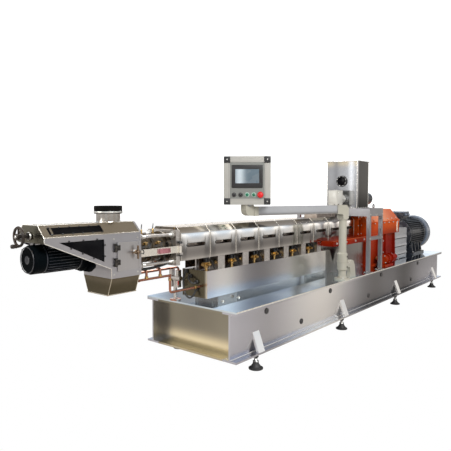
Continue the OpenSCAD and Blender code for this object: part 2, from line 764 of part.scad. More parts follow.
// Inspection door on the chamber's front, with its two hinges and its turning latch
door_in = 34;
door_t = 5;
door_x0 = wall_x + door_in;
door_x1 = hood_x1 - door_t;
door_z0 = 683;
door_z1 = 828;
door_hinge_h = 26;
door_hinge_r = 7;
door_hinge_zs = [716, 788];
door_y = -hood_w / 2 - eps;
door_pin_in = 12;
latch_in = 26;
door_pin_x = door_x0 - door_pin_in;
door_pin_y = door_y - door_t - door_pin_r - run_fit * 10;
latch_x = door_x1 - latch_in;
latch_z = 772;
latch_post_r = 7;
module hood_door() {
  color([0.72, 0.71, 0.72]) difference() {
    union() {
      box(door_x0, door_x1, door_y - door_t, door_y, door_z0, door_z1);
      for (z = door_hinge_zs) {
        box(door_pin_x, door_x0 + 2 * door_hinge_r, door_y - 2 * door_t,
          door_y - door_t, z, z + door_hinge_h);
        rod_z(z, z + door_hinge_h, door_hinge_r, door_pin_x, door_pin_y);
      }
    }
    for (z = door_hinge_zs)
      rod_z(z - over, z + door_hinge_h + over, door_pin_r + run_fit,
        door_pin_x, door_pin_y);
    rod_y(door_y - 2 * door_t, door_y + over, latch_post_r + run_fit, latch_x, latch_z);
  }
}
latch_l = 34;
latch_w = 12;
module door_latch() {
  color([0.5, 0.47, 0.44]) {
    rod_y(door_y - 3 * door_t, door_y, latch_post_r, latch_x, latch_z);
    rod_y(door_y - 4.6 * door_t, door_y - 3 * door_t, latch_w, latch_x, latch_z);
    for (a = [0, 90])
      translate([latch_x, 0, latch_z]) rotate([0, a, 0])
        box(-latch_l, latch_l * (a ? 1 : 0.4), door_y - 6 * door_t,
          door_y - 4.6 * door_t, -latch_w / 3, latch_w / 3);
  }
}

// Chute below the chamber, tapering in its width only
module cutter_chute() {
  low = chute_low_w / 2;
  w = hood_w / 2;
  past = over * (w - low) / (hood_low_z - chute_low_z);
  color([0.46, 0.42, 0.35]) difference() {
    slab_x([[-low, chute_low_z], [-w, hood_low_z], [w, hood_low_z], [low, chute_low_z]],
      wall_x, hood_x1);
    slab_x([[-low + hood_t + past, chute_low_z - over], [-w + hood_t - past, hood_low_z + over],
      [w - hood_t + past, hood_low_z + over], [low - hood_t - past, chute_low_z - over]],
      wall_x + hood_t, hood_x1 - hood_t);
  }
}
collar_h = 42;
band_h = 39;
module exhaust_collar() {
  color([0.6, 0.58, 0.56]) translate([exhaust_x, 0, hood_top_z]) rotate_extrude()
    polygon([[exhaust_r, 0], [exhaust_d / 2, 0], [exhaust_d / 2, collar_h],
      [exhaust_band_d / 2, collar_h], [exhaust_band_d / 2, collar_h + band_h],
      [exhaust_r, collar_h + band_h]]);
}

// Cutter motor on its carriage plate, with the bearing cartridge and the guide bushes
carriage_back = 89;
carriage_x = wall_x - carriage_back;
carriage_t = 12;
carriage_w = 98;
carriage_cut_w = 60;
carriage_rises = [-80, -55, 90, 127];   // from the knife's axis
cutter_lip = 2;
cutter_bell = 60;
cutter_l = 280;
cutter_flange_r = 80;
cartridge_r = 44;
cartridge_past = 20;
knife_shaft_r = 15;
bush_r = 17;
bush_l = 50;
nut_r = 18;
grille_n = 24;
module cutter_motor() {
  plate_x1 = carriage_x + carriage_t;
  end = carriage_x - cutter_l;
  c = carriage_w;
  k = carriage_cut_w;
  z = [for (r = carriage_rises) axis_z + r];
  color([0.1, 0.12, 0.14]) difference() {
    union() {
      slab_x([[-c, z[1]], [-c, z[2]], [-k, z[3]], [k, z[3]], [c, z[2]], [c, z[1]],
        [k, z[0]], [-k, z[0]]], carriage_x, plate_x1);
      turned_x([[0, 0], [cutter_r - carriage_t, 0], [cutter_r, carriage_t],
        [cutter_r, cutter_bell], [cutter_r - cutter_lip, cutter_bell + cutter_lip],
        [cutter_r - cutter_lip, cutter_l - 3 * carriage_t], [cutter_r, cutter_l - 3 * carriage_t],
        [cutter_r, cutter_l - carriage_t], [cutter_flange_r, cutter_l - carriage_t],
        [cutter_flange_r, cutter_l], [0, cutter_l]], end, 0, axis_z);
      rod_x(plate_x1, wall_x + cartridge_past, cartridge_r, 0, axis_z);
      for (s = [-1, 1])
        rod_x(carriage_x - bush_l / 2, plate_x1 + bush_l / 2, bush_r,
          s * guide_y, guide_z);
      rod_x(carriage_x - bush_l / 2, plate_x1, nut_r, 0, lead_z);
    }
    for (s = [-1, 1])
      rod_x(carriage_x - bush_l, plate_x1 + bush_l, guide_r + run_fit,
        s * guide_y, guide_z);
    rod_x(carriage_x - bush_l, plate_x1 + over, lead_r + run_fit, 0, lead_z);
    rod_x(plate_x1 + over, wall_x + cartridge_past + over, knife_shaft_r + run_fit, 0, axis_z);
    for (i = [0:grille_n - 1])
      translate([end, 0, axis_z]) rotate([i * 360 / grille_n, 0, 0])
        box(-over, 6, -1.5, 1.5, cutter_r * 0.35, cutter_r * 0.82);
  }
}
knife_gap = 1.5;
blade_l = 4.5;
blade_n = 4;
hub_r = 26;
knife_r = 72;
module knife_head() {
  x1 = head_x0 - knife_gap;
  color([0.55, 0.55, 0.58]) {
    rod_x(carriage_x + carriage_t + 2 * over, x1 - hub_r, knife_shaft_r, 0, axis_z);
    rod_x(x1 - hub_r, x1 - blade_l, hub_r, 0, axis_z);
    for (i = [0:blade_n - 1])
      translate([0, 0, axis_z]) rotate([i * 360 / blade_n, 0, 0])
        slab_y([[x1 - blade_l, 0], [x1, 0], [x1, knife_r],
          [x1 - blade_l, knife_r - blade_l]], -hub_r / 4, hub_r / 4);
  }
}
wheel_out = 53;
wheel_x = hood_x0 - wheel_out;
wheel_tube = 6;
wheel_hub_r = 13;
crank_l = 34;
module handwheel() {
  color([0.13, 0.12, 0.12]) {
    translate([wheel_x, 0, lead_z]) rotate([0, 90, 0]) rotate_extrude()
      translate([wheel_r, 0]) circle(r = wheel_tube, $fn = 24);
    rod_x(wheel_x - 10, wheel_x + 14, wheel_hub_r, 0, lead_z);
    for (a = [0, 120, 240])
      translate([wheel_x, 0, lead_z]) rotate([a, 0, 0])
        rod_z(wheel_hub_r / 2, wheel_r, 4.5, 0, 0);
    rod_x(wheel_x - crank_l, wheel_x, 7, 0, lead_z - wheel_r);
    rod_x(wheel_x + 14, carriage_x + carriage_t + 14, lead_r, 0, lead_z);
    rod_x(hood_x0 - 14, hood_x0 - eps, 16, 0, lead_z);
  }
}
bar_eye_r = 11;
grip_l = 80;
module clamp_bar() {
  x0 = head_x0 + 4;
  y = -end_plate_w / 2 - eps;
  color([0.7, 0.7, 0.72]) difference() {
    union() {
      box(x0, pivot_x, y - bar_t, y, bar_z - bar_h / 2, bar_z + bar_h / 2);
      rod_z(bar_z - bar_h / 2, bar_z + bar_h / 2, bar_eye_r, pivot_x, -pivot_y);
    }
    rod_z(bar_z - bar_h, bar_z + bar_h, pin_r + run_fit, pivot_x, -pivot_y);
  }
  color([0.62, 0.3, 0.32])
    box(pivot_x - 2 * grip_l, pivot_x - grip_l, y - 2 * bar_t, y - bar_t,
      bar_z - bar_h / 3, bar_z + bar_h / 3);
}

// Gearbox: ribbed lower body with a wide split flange, and a tapering top cover
band_z0 = 685;
band_z1 = 815;
gear_body_w = 380;
gear_tail = 70;
gear_body_in = 30;
gear_foot_h = 14;
rib_t = 16;
rib_d = 14;
rib_shares = [0.02, 0.36, 0.64, 0.98];
cover_top_w = 300;
cover_top_in = 22;
cover_taper = 80;
flange_lip = 10;
in_shaft_r = 24;
gear_body_x0 = gear_x0 + gear_body_in;
gear_body_l = gear_l - gear_body_in - gear_tail;
gear_body_x1 = gear_x1 - gear_tail;
module gearbox_base() {
  color([0.72, 0.12, 0.04]) difference() {
    union() {
      box(gear_x0, gear_x1, -gear_w / 2, gear_w / 2, band_z0, band_z1);
      box(gear_body_x0, gear_body_x1, -gear_body_w / 2, gear_body_w / 2, deck_z, band_z0);
      box(gear_body_x0 - rib_d, gear_body_x1 + rib_d, -gear_w / 2, gear_w / 2,
        deck_z, deck_z + gear_foot_h);
      for (s = rib_shares, side = [-1, 1]) {
        x = gear_body_x0 + s * (gear_body_l - rib_t);
        mirror([0, (1 - side) / 2, 0])
          slab_x([[gear_body_w / 2 - rib_d, deck_z], [gear_w / 2 - rib_d / 7, deck_z],
            [gear_body_w / 2 + rib_d, band_z0], [gear_body_w / 2 - rib_d, band_z0]],
            x, x + rib_t);
      }
      for (side = [-1, 1])
        box(gear_x0, gear_x1, side * gear_w / 2 - flange_lip / 2,
          side * gear_w / 2 + flange_lip / 2, band_z1 - flange_lip, band_z1);
    }
    bores(gear_x0 - over, gear_x0 + journal_l + over, screw_shaft_r + run_fit);
    rod_x(gear_body_x1 - journal_l - over, gear_x1 + over, in_shaft_r + run_fit, 0, motor_z);
  }
}
module gearbox_cover() {
  color([0.93, 0.4, 0.2]) intersection() {
    slab_x([[-gear_w / 2, band_z1], [-cover_top_w / 2, gear_top_z],
      [cover_top_w / 2, gear_top_z], [gear_w / 2, band_z1]], gear_x0, gear_x1);
    slab_y([[gear_x0 + eps, band_z1], [gear_x0 + cover_top_in, gear_top_z],
      [gear_x1 - cover_taper, gear_top_z], [gear_x1 - eps, band_z1]], -gear_w, gear_w);
  }
}
shelf_past = 86;
shelf_l = gear_x0 - barrel_x0 - (seg_n - 2) * seg_l + shelf_past;
lantern_t = 20;
lantern_w = 320;
lantern_top_z = 880;
lantern_win_w = 44;
module gearbox_lantern() {
  x1 = gear_x0;
  w = lantern_w / 2;
  color([0.8, 0.16, 0.06]) difference() {
    union() {
      box(x1 - shelf_l, x1, -gear_w / 2, gear_w / 2, shelf_low_z, shelf_top_z);
      difference() {
        box(barrel_x1, x1, -w, w, shelf_top_z, lantern_top_z);
        box(barrel_x1 + lantern_t, x1 + over, -w + lantern_t, w - lantern_t,
          shelf_top_z, lantern_top_z - lantern_t);
        box(barrel_x1 + lantern_t + over, barrel_x1 + lantern_t + over + lantern_win_w,
          -w - over, w + over, shelf_top_z + lantern_t, lantern_top_z - 2 * lantern_t);
      }
    }
    bores(barrel_x1 - over, barrel_x1 + lantern_t + over, barrel_bore_d / 2);
  }
}
// Oil gauge and breather on the gearbox, and its oil pump on the deck
gauge_w = 22;
gauge_h = 104;
breather_r = 18;
breather_h = 30;
gauge_in = 60;
pump_l = 190;
pump_r = 36;
pump_edge = 88;
pump_in = 180;
pump_y = -deck_y + pump_edge;
pump_x0 = gear_x0 + pump_in;
pump_foot_h = 12;
pump_z = deck_z + 2 * pump_foot_h + pump_r + over;
module gearbox_fittings() {
  y = -gear_w / 2 - flange_lip / 2;
  x = gear_x1 - gauge_in;
  color([0.85, 0.8, 0.75])
    box(x - gauge_w / 2, x + gauge_w / 2, y, -gear_w / 2, band_z0 + flange_lip,
      band_z0 + flange_lip + gauge_h);
  color([0.3, 0.3, 0.32]) {
    rod_z(gear_top_z, gear_top_z + breather_h, breather_r / 2, gear_x0 + gear_l / 2, 0);
    rod_z(gear_top_z + breather_h, gear_top_z + 1.7 * breather_h, breather_r,
      gear_x0 + gear_l / 2, 0);
  }
  color([0.5, 0.14, 0.1]) {
    box(pump_x0, pump_x0 + pump_l, pump_y - pump_r, pump_y + pump_r,
      deck_z, deck_z + pump_foot_h);
    for (share = [0.2, 0.75])
      box(pump_x0 + share * pump_l, pump_x0 + share * pump_l + pump_foot_h,
        pump_y - pump_r / 2, pump_y + pump_r / 2, deck_z + pump_foot_h, pump_z);
    rod_x(pump_x0, pump_x0 + pump_l, pump_r, pump_y, pump_z);
    for (share = [0, 0.45, 0.9])
      rod_x(pump_x0 + share * pump_l, pump_x0 + share * pump_l + pump_foot_h,
        pump_r + pump_foot_h, pump_y, pump_z);
    rod_x(pump_x0 + pump_l, pump_x0 + 1.7 * pump_l, pump_r * 0.8, pump_y, pump_z);
    rod_y(pump_y, -gear_body_w / 2, pump_r / 3, pump_x0 + pump_l * 0.35, pump_z);
  }
}

// Guard over the shaft coupling: a louvred box
guard_w = 300;
guard_t = 3;
guard_h = 306;
guard_slot_h = 38;
guard_step = 88;
guard_end = 20;
guard_x0 = gear_x1 + eps;
guard_x1 = motor_x0 - guard_end / 4;
module coupling_guard() {
  w = guard_w / 2;
  color([0.85, 0.85, 0.86]) difference() {
    box(guard_x0, guard_x1, -w, w, deck_z, deck_z + guard_h);
    box(guard_x0 + guard_t, guard_x1 - guard_t, -w + guard_t, w - guard_t,
      deck_z - over, deck_z + guard_h - guard_t);
    for (k = [0:2])
      box(guard_x0 + guard_end, guard_x1 - guard_end, -w - over, w + over,
        deck_z + guard_end + k * guard_step,
        deck_z + guard_end + guard_slot_h + k * guard_step);
    for (x = [guard_x0 - over, guard_x1 - guard_t - over])
      rod_x(x, x + guard_t + 2 * over, guard_w / 6, 0, motor_z);
  }
}

// Main motor: finned frame, end shields, feet and terminal box
motor_core_r = 168;
motor_l = 560;
shield_l = 56;
shield_r = 186;
fin_t = 6;
motor_foot_w = 400;
motor_foot_h = 20;
motor_shaft_r = 30;
cowl_l = 130;
cowl_t = 3;
cowl_r = motor_r + 5;
motor_x1 = motor_x0 + motor_l;
tbox_l = 190;
tbox_w = 180;
tbox_h = 62;
module motor_section() {
  circle(r = motor_core_r, $fn = 96);
  for (i = [0:fin_n - 1])
    if (abs((i * 360 / fin_n + 180) % 360 - 180) > 28 && abs(i * 360 / fin_n - 180) > 24)
      rotate(i * 360 / fin_n) translate([-fin_t / 2, motor_core_r - fin_t])
        square([fin_t, motor_r - motor_core_r + fin_t]);
}
module main_motor() {
  x0 = motor_x0;
  color([0.16, 0.17, 0.2]) {
    difference() {
      union() {
        translate([x0 + shield_l, 0, motor_z]) rotate([90, 0, 90])
          linear_extrude(motor_l - 2 * shield_l) motor_section();
        turned_x([[0, 0], [shield_r * 0.62, 0], [shield_r * 0.7, shield_l * 0.35],
          [shield_r, shield_l * 0.55], [shield_r, shield_l], [0, shield_l]],
          x0, 0, motor_z);
        rod_x(motor_x1 - shield_l, motor_x1, shield_r, 0, motor_z);
        for (s = [-1, 1]) mirror([0, (1 - s) / 2, 0]) {
          box(foot_x0, foot_x0 + motor_foot_l, motor_foot_w / 4, motor_foot_w / 2,
            deck_z, deck_z + motor_foot_h);
          for (x = [foot_x0 + motor_foot_h, foot_x0 + motor_foot_l / 3,
            foot_x0 + motor_foot_l * 2 / 3, foot_x0 + motor_foot_l - 2 * motor_foot_h])
            slab_x([[motor_core_r * 0.5, motor_z - motor_core_r * 0.8],
              [motor_core_r * 0.96, motor_z - motor_core_r * 0.25],
              [motor_foot_w / 2 - motor_foot_h, deck_z + motor_foot_h],
              [motor_foot_w / 4, deck_z + motor_foot_h]], x, x + motor_foot_h);
        }
        box(x0 + shield_l, x0 + shield_l + tbox_l, -tbox_w / 3, tbox_w / 3,
          motor_z + motor_core_r * 0.9, motor_z + motor_r);
        box(x0 + shield_l - 12, x0 + shield_l + tbox_l - 12, -tbox_w / 2, tbox_w / 2,
          motor_z + motor_r, motor_z + motor_r + tbox_h);
        rod_z(motor_z + motor_core_r * 0.98, motor_z + motor_r + 14, 9,
          motor_x1 - 1.6 * shield_l, 0);
        translate([motor_x1 - 1.6 * shield_l, 0, motor_z + motor_r + 26])
          rotate([90, 0, 0]) rotate_extrude() translate([19, 0]) circle(r = 6);
      }
      rod_x(x0 - over, motor_x1 + over, motor_shaft_r + run_fit, 0, motor_z);
    }
  }
}
cowl_slots = 20;
module motor_cowl() {
  x0 = motor_x1;
  color([0.2, 0.23, 0.28]) difference() {
    turned_x([[cowl_r - 8, 0], [cowl_r, 8], [cowl_r, cowl_l - 22], [cowl_r - 22, cowl_l],
      [0, cowl_l], [0, cowl_l - cowl_t], [cowl_r - 22 - cowl_t, cowl_l - cowl_t],
      [cowl_r - cowl_t, cowl_l - 24], [cowl_r - cowl_t, 12], [shield_r - 20, 0]],
      x0, 0, motor_z);
    for (i = [0:cowl_slots - 1], r = [[0.2, 0.48], [0.54, 0.84]])
      translate([x0, 0, motor_z]) rotate([i * 360 / cowl_slots, 0, 0])
        box(cowl_l - 2 * cowl_t, cowl_l + over, -cowl_t, cowl_t,
          r[0] * cowl_r, r[1] * cowl_r);
  }
}
// Turning shaft: input stub, coupling halves, motor shaft and cooling fan
coupling_r = 72;
coupling_half_l = 70;
coupling_gap = 6;
coupling_pin_n = 8;
fan_r = 160;
fan_n = 8;
fan_l = 60;
module motor_shaft() {
  mid = (guard_x0 + guard_x1) / 2;
  color([0.2, 0.2, 0.21]) {
    rod_x(gear_body_x1 - journal_l, mid - coupling_gap / 2, in_shaft_r, 0, motor_z);
    rod_x(mid - coupling_gap / 2, motor_x1 + fan_l, motor_shaft_r, 0, motor_z);
    difference() {
      for (s = [0, 1])
        rod_x(mid - coupling_half_l + s * (coupling_half_l + coupling_gap),
          mid + s * (coupling_half_l + coupling_gap), coupling_r, 0, motor_z);
      rod_x(mid - 2 * coupling_half_l, mid + 2 * coupling_half_l, in_shaft_r, 0, motor_z);
    }
    for (i = [0:coupling_pin_n - 1])
      rod_x(mid - coupling_half_l - 8, mid + coupling_half_l + 8, 8,
        coupling_r * 0.75 * cos(i * 360 / coupling_pin_n),
        motor_z + coupling_r * 0.75 * sin(i * 360 / coupling_pin_n));
    rod_x(motor_x1 + 12, motor_x1 + fan_l + 12, motor_shaft_r * 1.6, 0, motor_z);
    for (i = [0:fan_n - 1])
      translate([0, 0, motor_z]) rotate([i * 360 / fan_n, 0, 0])
        box(motor_x1 + 18, motor_x1 + 18 + fan_l, -2.5, 2.5, motor_shaft_r, fan_r);
  }
}

// Feeder: square-legged stand, table, hopper with its trough, and the outlet box
outlet_l = 105;
outlet_w = 84;
outlet_t = 4;
outlet_low_z = 985;
outlet_h = 122;
outlet_x1 = port_x + port_l;
outlet_x0 = outlet_x1 - outlet_l;
feed_y = -77;           // the feed screw lies this far in front of the barrel
feed_tube_l = 68;
feed_tube_t = 5;
feed_clear = 2;
feed_z = table_z + feed_axis_h;
hopper_x0 = outlet_x1 + feed_tube_l;
hopper_x1 = hopper_x0 + hopper_l;
hopper_t = 3;
table_side = 40;
table_x0 = hopper_x0 - table_side;
table_x1 = hopper_x1 + table_side / 4;
table_y = deck_y - leg_s / 2;
table_t = 8;
rail_h = 60;
cross_z = 678;
module feeder_stand() {
  rail_z = table_z - table_t;
  color([0.62, 0.63, 0.65]) {
    for (x = [table_x0, table_x1 - leg_s], s = [-1, 1])
      mirror([0, (1 - s) / 2, 0])
        box(x, x + leg_s, table_y - leg_s, table_y, deck_z, rail_z);
    for (s = [-1, 1]) mirror([0, (1 - s) / 2, 0]) {
      box(table_x0, table_x1, table_y - leg_s, table_y, rail_z - rail_h, rail_z);
      box(table_x0 + leg_s, table_x1 - leg_s, table_y - leg_s, table_y,
        cross_z, cross_z + leg_s);
    }
    for (x = [table_x0, table_x1 - table_t])
      box(x, x + table_t, -table_y, table_y, rail_z - rail_h, rail_z);
    box(table_x0, table_x1, -table_y, table_y, rail_z, table_z);
  }
}
trough_r = feed_screw_d / 2 + feed_clear;
trough_out = trough_r + feed_tube_t;
slope_top = table_z + hopper_w * 0.8;
port_glass_r = 38;
port_ring_r = 48;
port_ring_t = 12;
glass_z = table_z + 240;
module trough_line(r, w) {
  polygon([[-w, slope_top + over], [-r, feed_z], [r, feed_z], [w, slope_top + over]]);
}
rim_d = 6;
feed_shaft_r = 12;
module feed_hopper() {
  w = hopper_w / 2;
  in = w - hopper_t;
  color([0.6, 0.61, 0.63]) translate([0, feed_y, 0]) {
    difference() {
      union() {
        difference() {
          box(hopper_x0, hopper_x1, -w, w, table_z, hopper_top_z);
          box(hopper_x0 + hopper_t, hopper_x1 - hopper_t, -in, in,
            table_z - over, hopper_top_z + over);
        }
        translate([hopper_x0, 0, 0]) rotate([90, 0, 90])
          linear_extrude(hopper_l) trough_line(trough_out, in);
        rod_x(hopper_x0, hopper_x1, trough_out, 0, feed_z);
        difference() {
          box(hopper_x0 - rim_d, hopper_x1 + rim_d, -w - rim_d, w + rim_d,
            hopper_top_z - rim_d, hopper_top_z);
          box(hopper_x0 + hopper_t, hopper_x1 - hopper_t, -in, in,
            hopper_top_z - 2 * rim_d, hopper_top_z + over);
        }
      }
      translate([hopper_x0 + hopper_t, 0, 0]) rotate([90, 0, 90])
        linear_extrude(hopper_l - 2 * hopper_t)
          trough_line(trough_r, in - feed_tube_t + 0.001);
      box(hopper_x0 + hopper_t, hopper_x1 - hopper_t, -in, in,
        slope_top, hopper_top_z + over);
      rod_x(hopper_x0 - over, hopper_x1 - hopper_t, trough_r, 0, feed_z);
      rod_x(hopper_x1 - 2 * hopper_t, hopper_x1 + over, feed_shaft_r + run_fit, 0, feed_z);
      rod_x(hopper_x0 - over, hopper_x0 + hopper_t + over, port_glass_r, 0, glass_z);
    }
  }
  color([0.08, 0.08, 0.08]) translate([0, feed_y, 0]) difference() {
    rod_x(hopper_x0 - port_ring_t, hopper_x0, port_ring_r, 0, glass_z);
    rod_x(hopper_x0 - port_ring_t - over, hopper_x0 - port_ring_t / 2,
      port_glass_r, 0, glass_z);
  }
}
spout_top_w = 70;
module spout(inset, past) {
  top = spout_top_w / 2 - inset;
  foot = port_w / 2 + outlet_t - inset;
  lean = feed_y / (outlet_low_z - feed_block_z) * past;
  l = port_l / 2 + outlet_t - inset;
  slab_x([[feed_y - top + lean, outlet_low_z + past], [feed_y + top + lean, outlet_low_z + past],
    [foot - lean, feed_block_z - past], [-foot - lean, feed_block_z - past]],
    port_x - l, port_x + l);
}
module feeder_outlet() {
  y0 = feed_y - outlet_w / 2;
  z1 = outlet_low_z + outlet_h;
  color([0.82, 0.81, 0.77]) difference() {
    union() {
      box(outlet_x0, outlet_x1, y0, y0 + outlet_w, outlet_low_z, z1);
      spout(0, 0);
      rod_x(outlet_x1, hopper_x0, trough_out, feed_y, feed_z);
    }
    box(outlet_x0 + outlet_t, outlet_x1 - outlet_t, y0 + outlet_t, y0 + outlet_w - outlet_t,
      outlet_low_z + outlet_t, z1 - outlet_t);
    spout(outlet_t, outlet_t + over);
    rod_x(outlet_x1 - 2 * outlet_t, hopper_x0 + over, trough_r, feed_y, feed_z);
    rod_x(outlet_x0 - over, outlet_x0 + 2 * outlet_t, feed_shaft_r + run_fit, feed_y, feed_z);
  }
}
feeder_case_l = 62;
feeder_case_s = 110;
feeder_motor_r = 62;
feeder_motor_l = 246;
module feeder_motor() {
  x0 = hopper_x1 + rim_d * 1.5;
  x1 = x0 + feeder_case_l;
  color([0.09, 0.09, 0.1]) translate([0, feed_y, 0]) difference() {
    union() {
      box(x0, x1, -feeder_case_s / 2, feeder_case_s / 2,
        feed_z - feeder_case_s / 2, feed_z + feeder_case_s / 2);
      rod_x(hopper_x1, x0, 2 * feed_shaft_r, 0, feed_z);
      turned_x([[0, 0], [feeder_motor_r, 0], [feeder_motor_r, feeder_motor_l * 0.7],
        [feeder_motor_r - 3, feeder_motor_l * 0.72], [feeder_motor_r - 3, feeder_motor_l - 12],
        [feeder_motor_r - 14, feeder_motor_l], [0, feeder_motor_l]], x1, 0, feed_z);
    }
    rod_x(hopper_x1 - over, x0 + feeder_case_l / 2, feed_shaft_r + run_fit, 0, feed_z);
  }
}
flight_lead = 80;
flight_t = 6;
flight_steps = 10;
module feed_screw() {
  x0 = outlet_x0 + 3 * outlet_t;
  x1 = hopper_x1 - 4 * hopper_t;
  turns = (x1 - x0) / flight_lead;
  spread = flight_t / flight_lead * 180;
  r = feed_screw_d / 2;
  color([0.66, 0.66, 0.68]) translate([0, feed_y, feed_z]) {
    rod_x(outlet_x0, hopper_x1 + rim_d * 1.5 + feeder_case_l / 3, feed_shaft_r, 0, 0);
    translate([x0, 0, 0]) rotate([0, 90, 0])
      linear_extrude(x1 - x0, twist = -360 * turns, slices = round(turns * flight_steps), $fn = 4)
        polygon([[0, 0], [r * cos(spread), -r * sin(spread)], [r, 0],
          [r * cos(spread), r * sin(spread)]]);
  }
}

// Operator panel: post with its cast bracket, swinging arm and the panel itself
post_in = 1420;
post_edge = 50;
post_rise = 483;
post_x = deck_x0 + post_in;
post_y = -deck_y + post_edge;
post_top_z = deck_z + post_rise;
post_flange_r = 60;
post_flange_t = 12;
collar_r = 40;
collar_rise = 78;
collar_l = 126;
collar_lip = 4;
collar_z0 = deck_z + collar_rise;
collar_z1 = collar_z0 + collar_l;
pin_top_r = 20;
pin_top_h = 46;
bracket_t = 30;
bracket_reach = 218;
bracket_h = 142;
bracket_shares = [[0.1, 0.86], [0.1, 0.61], [0.44, 0.61], [0.514, 0.52], [0.53, 0.28], [0.477, 0],
  [1, 0], [0.963, 0.28], [0.9, 0.7], [0.79, 0.93], [0.64, 1], [0.5, 0.87]];
module panel_post() {
  color([0.84, 0.84, 0.8]) translate([post_x, post_y, 0]) {
    rod_z(deck_z, deck_z + post_flange_t, post_flange_r, 0, 0);
    rod_z(deck_z + post_flange_t, post_top_z, post_d / 2, 0, 0);
    rod_z(post_top_z - post_flange_t / 2, post_top_z, post_d * 0.6, 0, 0);
    rod_z(post_top_z, post_top_z + pin_top_h, pin_top_r, 0, 0);
    rod_z(collar_z0, collar_z1, collar_r, 0, 0);
    rod_z((collar_z0 + collar_z1) / 2 - collar_lip, (collar_z0 + collar_z1) / 2 + collar_lip,
      collar_r + collar_lip, 0, 0);
    slab_y([for (p = bracket_shares) [p[0] * bracket_reach, deck_z + p[1] * bracket_h]],
      -bracket_t / 2, bracket_t / 2);
  }
}
elbow_w = 64;
elbow_up = 34;
elbow_cut = 26;
elbow_low = 8;
elbow_top_z = arm_z + elbow_up;
elbow_l = 96;
arm_w = 50;
joint_l = 34;
joint_back = 40;
panel_rise = 44;
panel_low_z = arm_z + panel_rise;
swivel_r = 20;
swivel_h = 30;
module at_post() { translate([post_x, post_y, 0]) rotate([0, 0, -arm_turn]) children(); }
module swing_arm() {
  w = elbow_w / 2;
  z0 = post_top_z + eps;
  color([0.74, 0.75, 0.76]) at_post() {
    difference() {
      slab_y([[w, z0], [w, elbow_top_z - elbow_cut], [w - elbow_cut, elbow_top_z],
        [-elbow_l, elbow_top_z], [-elbow_l, arm_z - arm_h / 2 - elbow_low / 2],
        [-w - elbow_low, arm_z - arm_h / 2 - elbow_low], [-w, z0 + elbow_cut],
        [-w, z0]], -w, w);
      rod_z(z0 - over, z0 + pin_top_h + over, pin_top_r + run_fit, 0, 0);
    }
    box(-arm_reach + joint_back + joint_l - over, over - elbow_l, -arm_w / 2, arm_w / 2,
      arm_z - arm_h / 2, arm_z + arm_h / 2);
    box(-arm_reach + joint_back, -arm_reach + joint_back + joint_l, -w, w,
      arm_z - w, arm_z + w);
    slab_y([[-arm_reach + joint_back + over, arm_z - w + over], [-arm_reach, arm_z - w + over],
      [-arm_reach - elbow_cut, arm_z - w / 2], [-arm_reach - w, arm_z + elbow_low],
      [-arm_reach - w, panel_low_z - eps], [-arm_reach + w, panel_low_z - eps],
      [-arm_reach + joint_back + over, arm_z + w - 2 * over]], -w + 2 * over, w - 2 * over);
    rod_z(panel_low_z - eps, panel_low_z + swivel_h, swivel_r, -arm_reach, 0);
  }
}
panel_x = post_x - arm_reach * cos(arm_turn);
panel_y = post_y + arm_reach * sin(arm_turn);
frame_w = 40;
recess = 4;
corner_s = 46;
corner_out = 3;
screen_w = 204;
screen_h = 150;
screen_t = 7;
screen_top = 58;
display_w = 165;
display_h = 97;
button_pitch = 43.5;
button_z = panel_low_z + 66;
bezel_r = 14;
bezel_t = 4;
cap_r = 10;
stem_l = 18;
press = 4;
stop_r = 20;
knob_t = 5;
stop_clear = 6;
stop_h = 12;
stop_crown = 5;
module at_panel() {
  translate([panel_x, panel_y, 0]) rotate([0, 0, panel_turn - 90]) children();
}
plate_y = -panel_d / 2 + recess;
module panel_box() {
  w = panel_w / 2;
  z1 = panel_low_z + panel_h;
  c = corner_s;
  at_panel() {
    color([0.8, 0.79, 0.76]) difference() {
      union() {
        box(-w, w, -panel_d / 2, panel_d / 2, panel_low_z, z1);
        for (k = [-2, -1, 0, 1])
          rod_y(plate_y - bezel_t, plate_y, bezel_r, k * button_pitch, button_z);
      }
      difference() {
        box(-w + frame_w, w - frame_w, -panel_d / 2 - over, plate_y,
          panel_low_z + frame_w, z1 - frame_w);
        for (k = [-2, -1, 0, 1])
          rod_y(plate_y - bezel_t, plate_y, bezel_r, k * button_pitch, button_z);
      }
      for (k = [-2:2])
        rod_y(plate_y - 2 * bezel_t, plate_y + stem_l + press + over,
          cap_r + eps, k * button_pitch, button_z);
      rod_z(panel_low_z - over, panel_low_z + swivel_h + over, swivel_r + run_fit, 0, 0);
      for (sx = [-1, 1], z = [panel_low_z, z1])
        translate([sx * w, 0, z]) rotate([0, 45, 0])
          box(-c / 6, c / 6, -panel_d, panel_d, -c / 6, c / 6);
    }
    color([0.05, 0.05, 0.05]) for (sx = [-1, 1], z = [panel_low_z + c / 2, z1 - c / 2])
      box(sx * (w - c / 2) - c * 0.42, sx * (w - c / 2) + c * 0.42,
        -panel_d / 2 - corner_out, -panel_d / 2, z - c * 0.42, z + c * 0.42);
    color([0.07, 0.07, 0.08]) difference() {
      box(-screen_w / 2, screen_w / 2, plate_y - screen_t, plate_y,
        z1 - screen_top - screen_h, z1 - screen_top);
      box(-display_w / 2, display_w / 2, plate_y - screen_t - over,
        plate_y - screen_t + 2, z1 - screen_top - (screen_h + display_h) / 2,
        z1 - screen_top - (screen_h - display_h) / 2);
    }
  }
}
module cap(k, r, out) {
  at_panel() {
    rod_y(plate_y, plate_y + stem_l, cap_r, k * button_pitch, button_z);
    rod_y(plate_y - out, plate_y, r, k * button_pitch, button_z);
  }
}
module push_button(i) { color([0.1, 0.4, 0.3]) cap(i - 1, cap_r, bezel_t + press + over); }
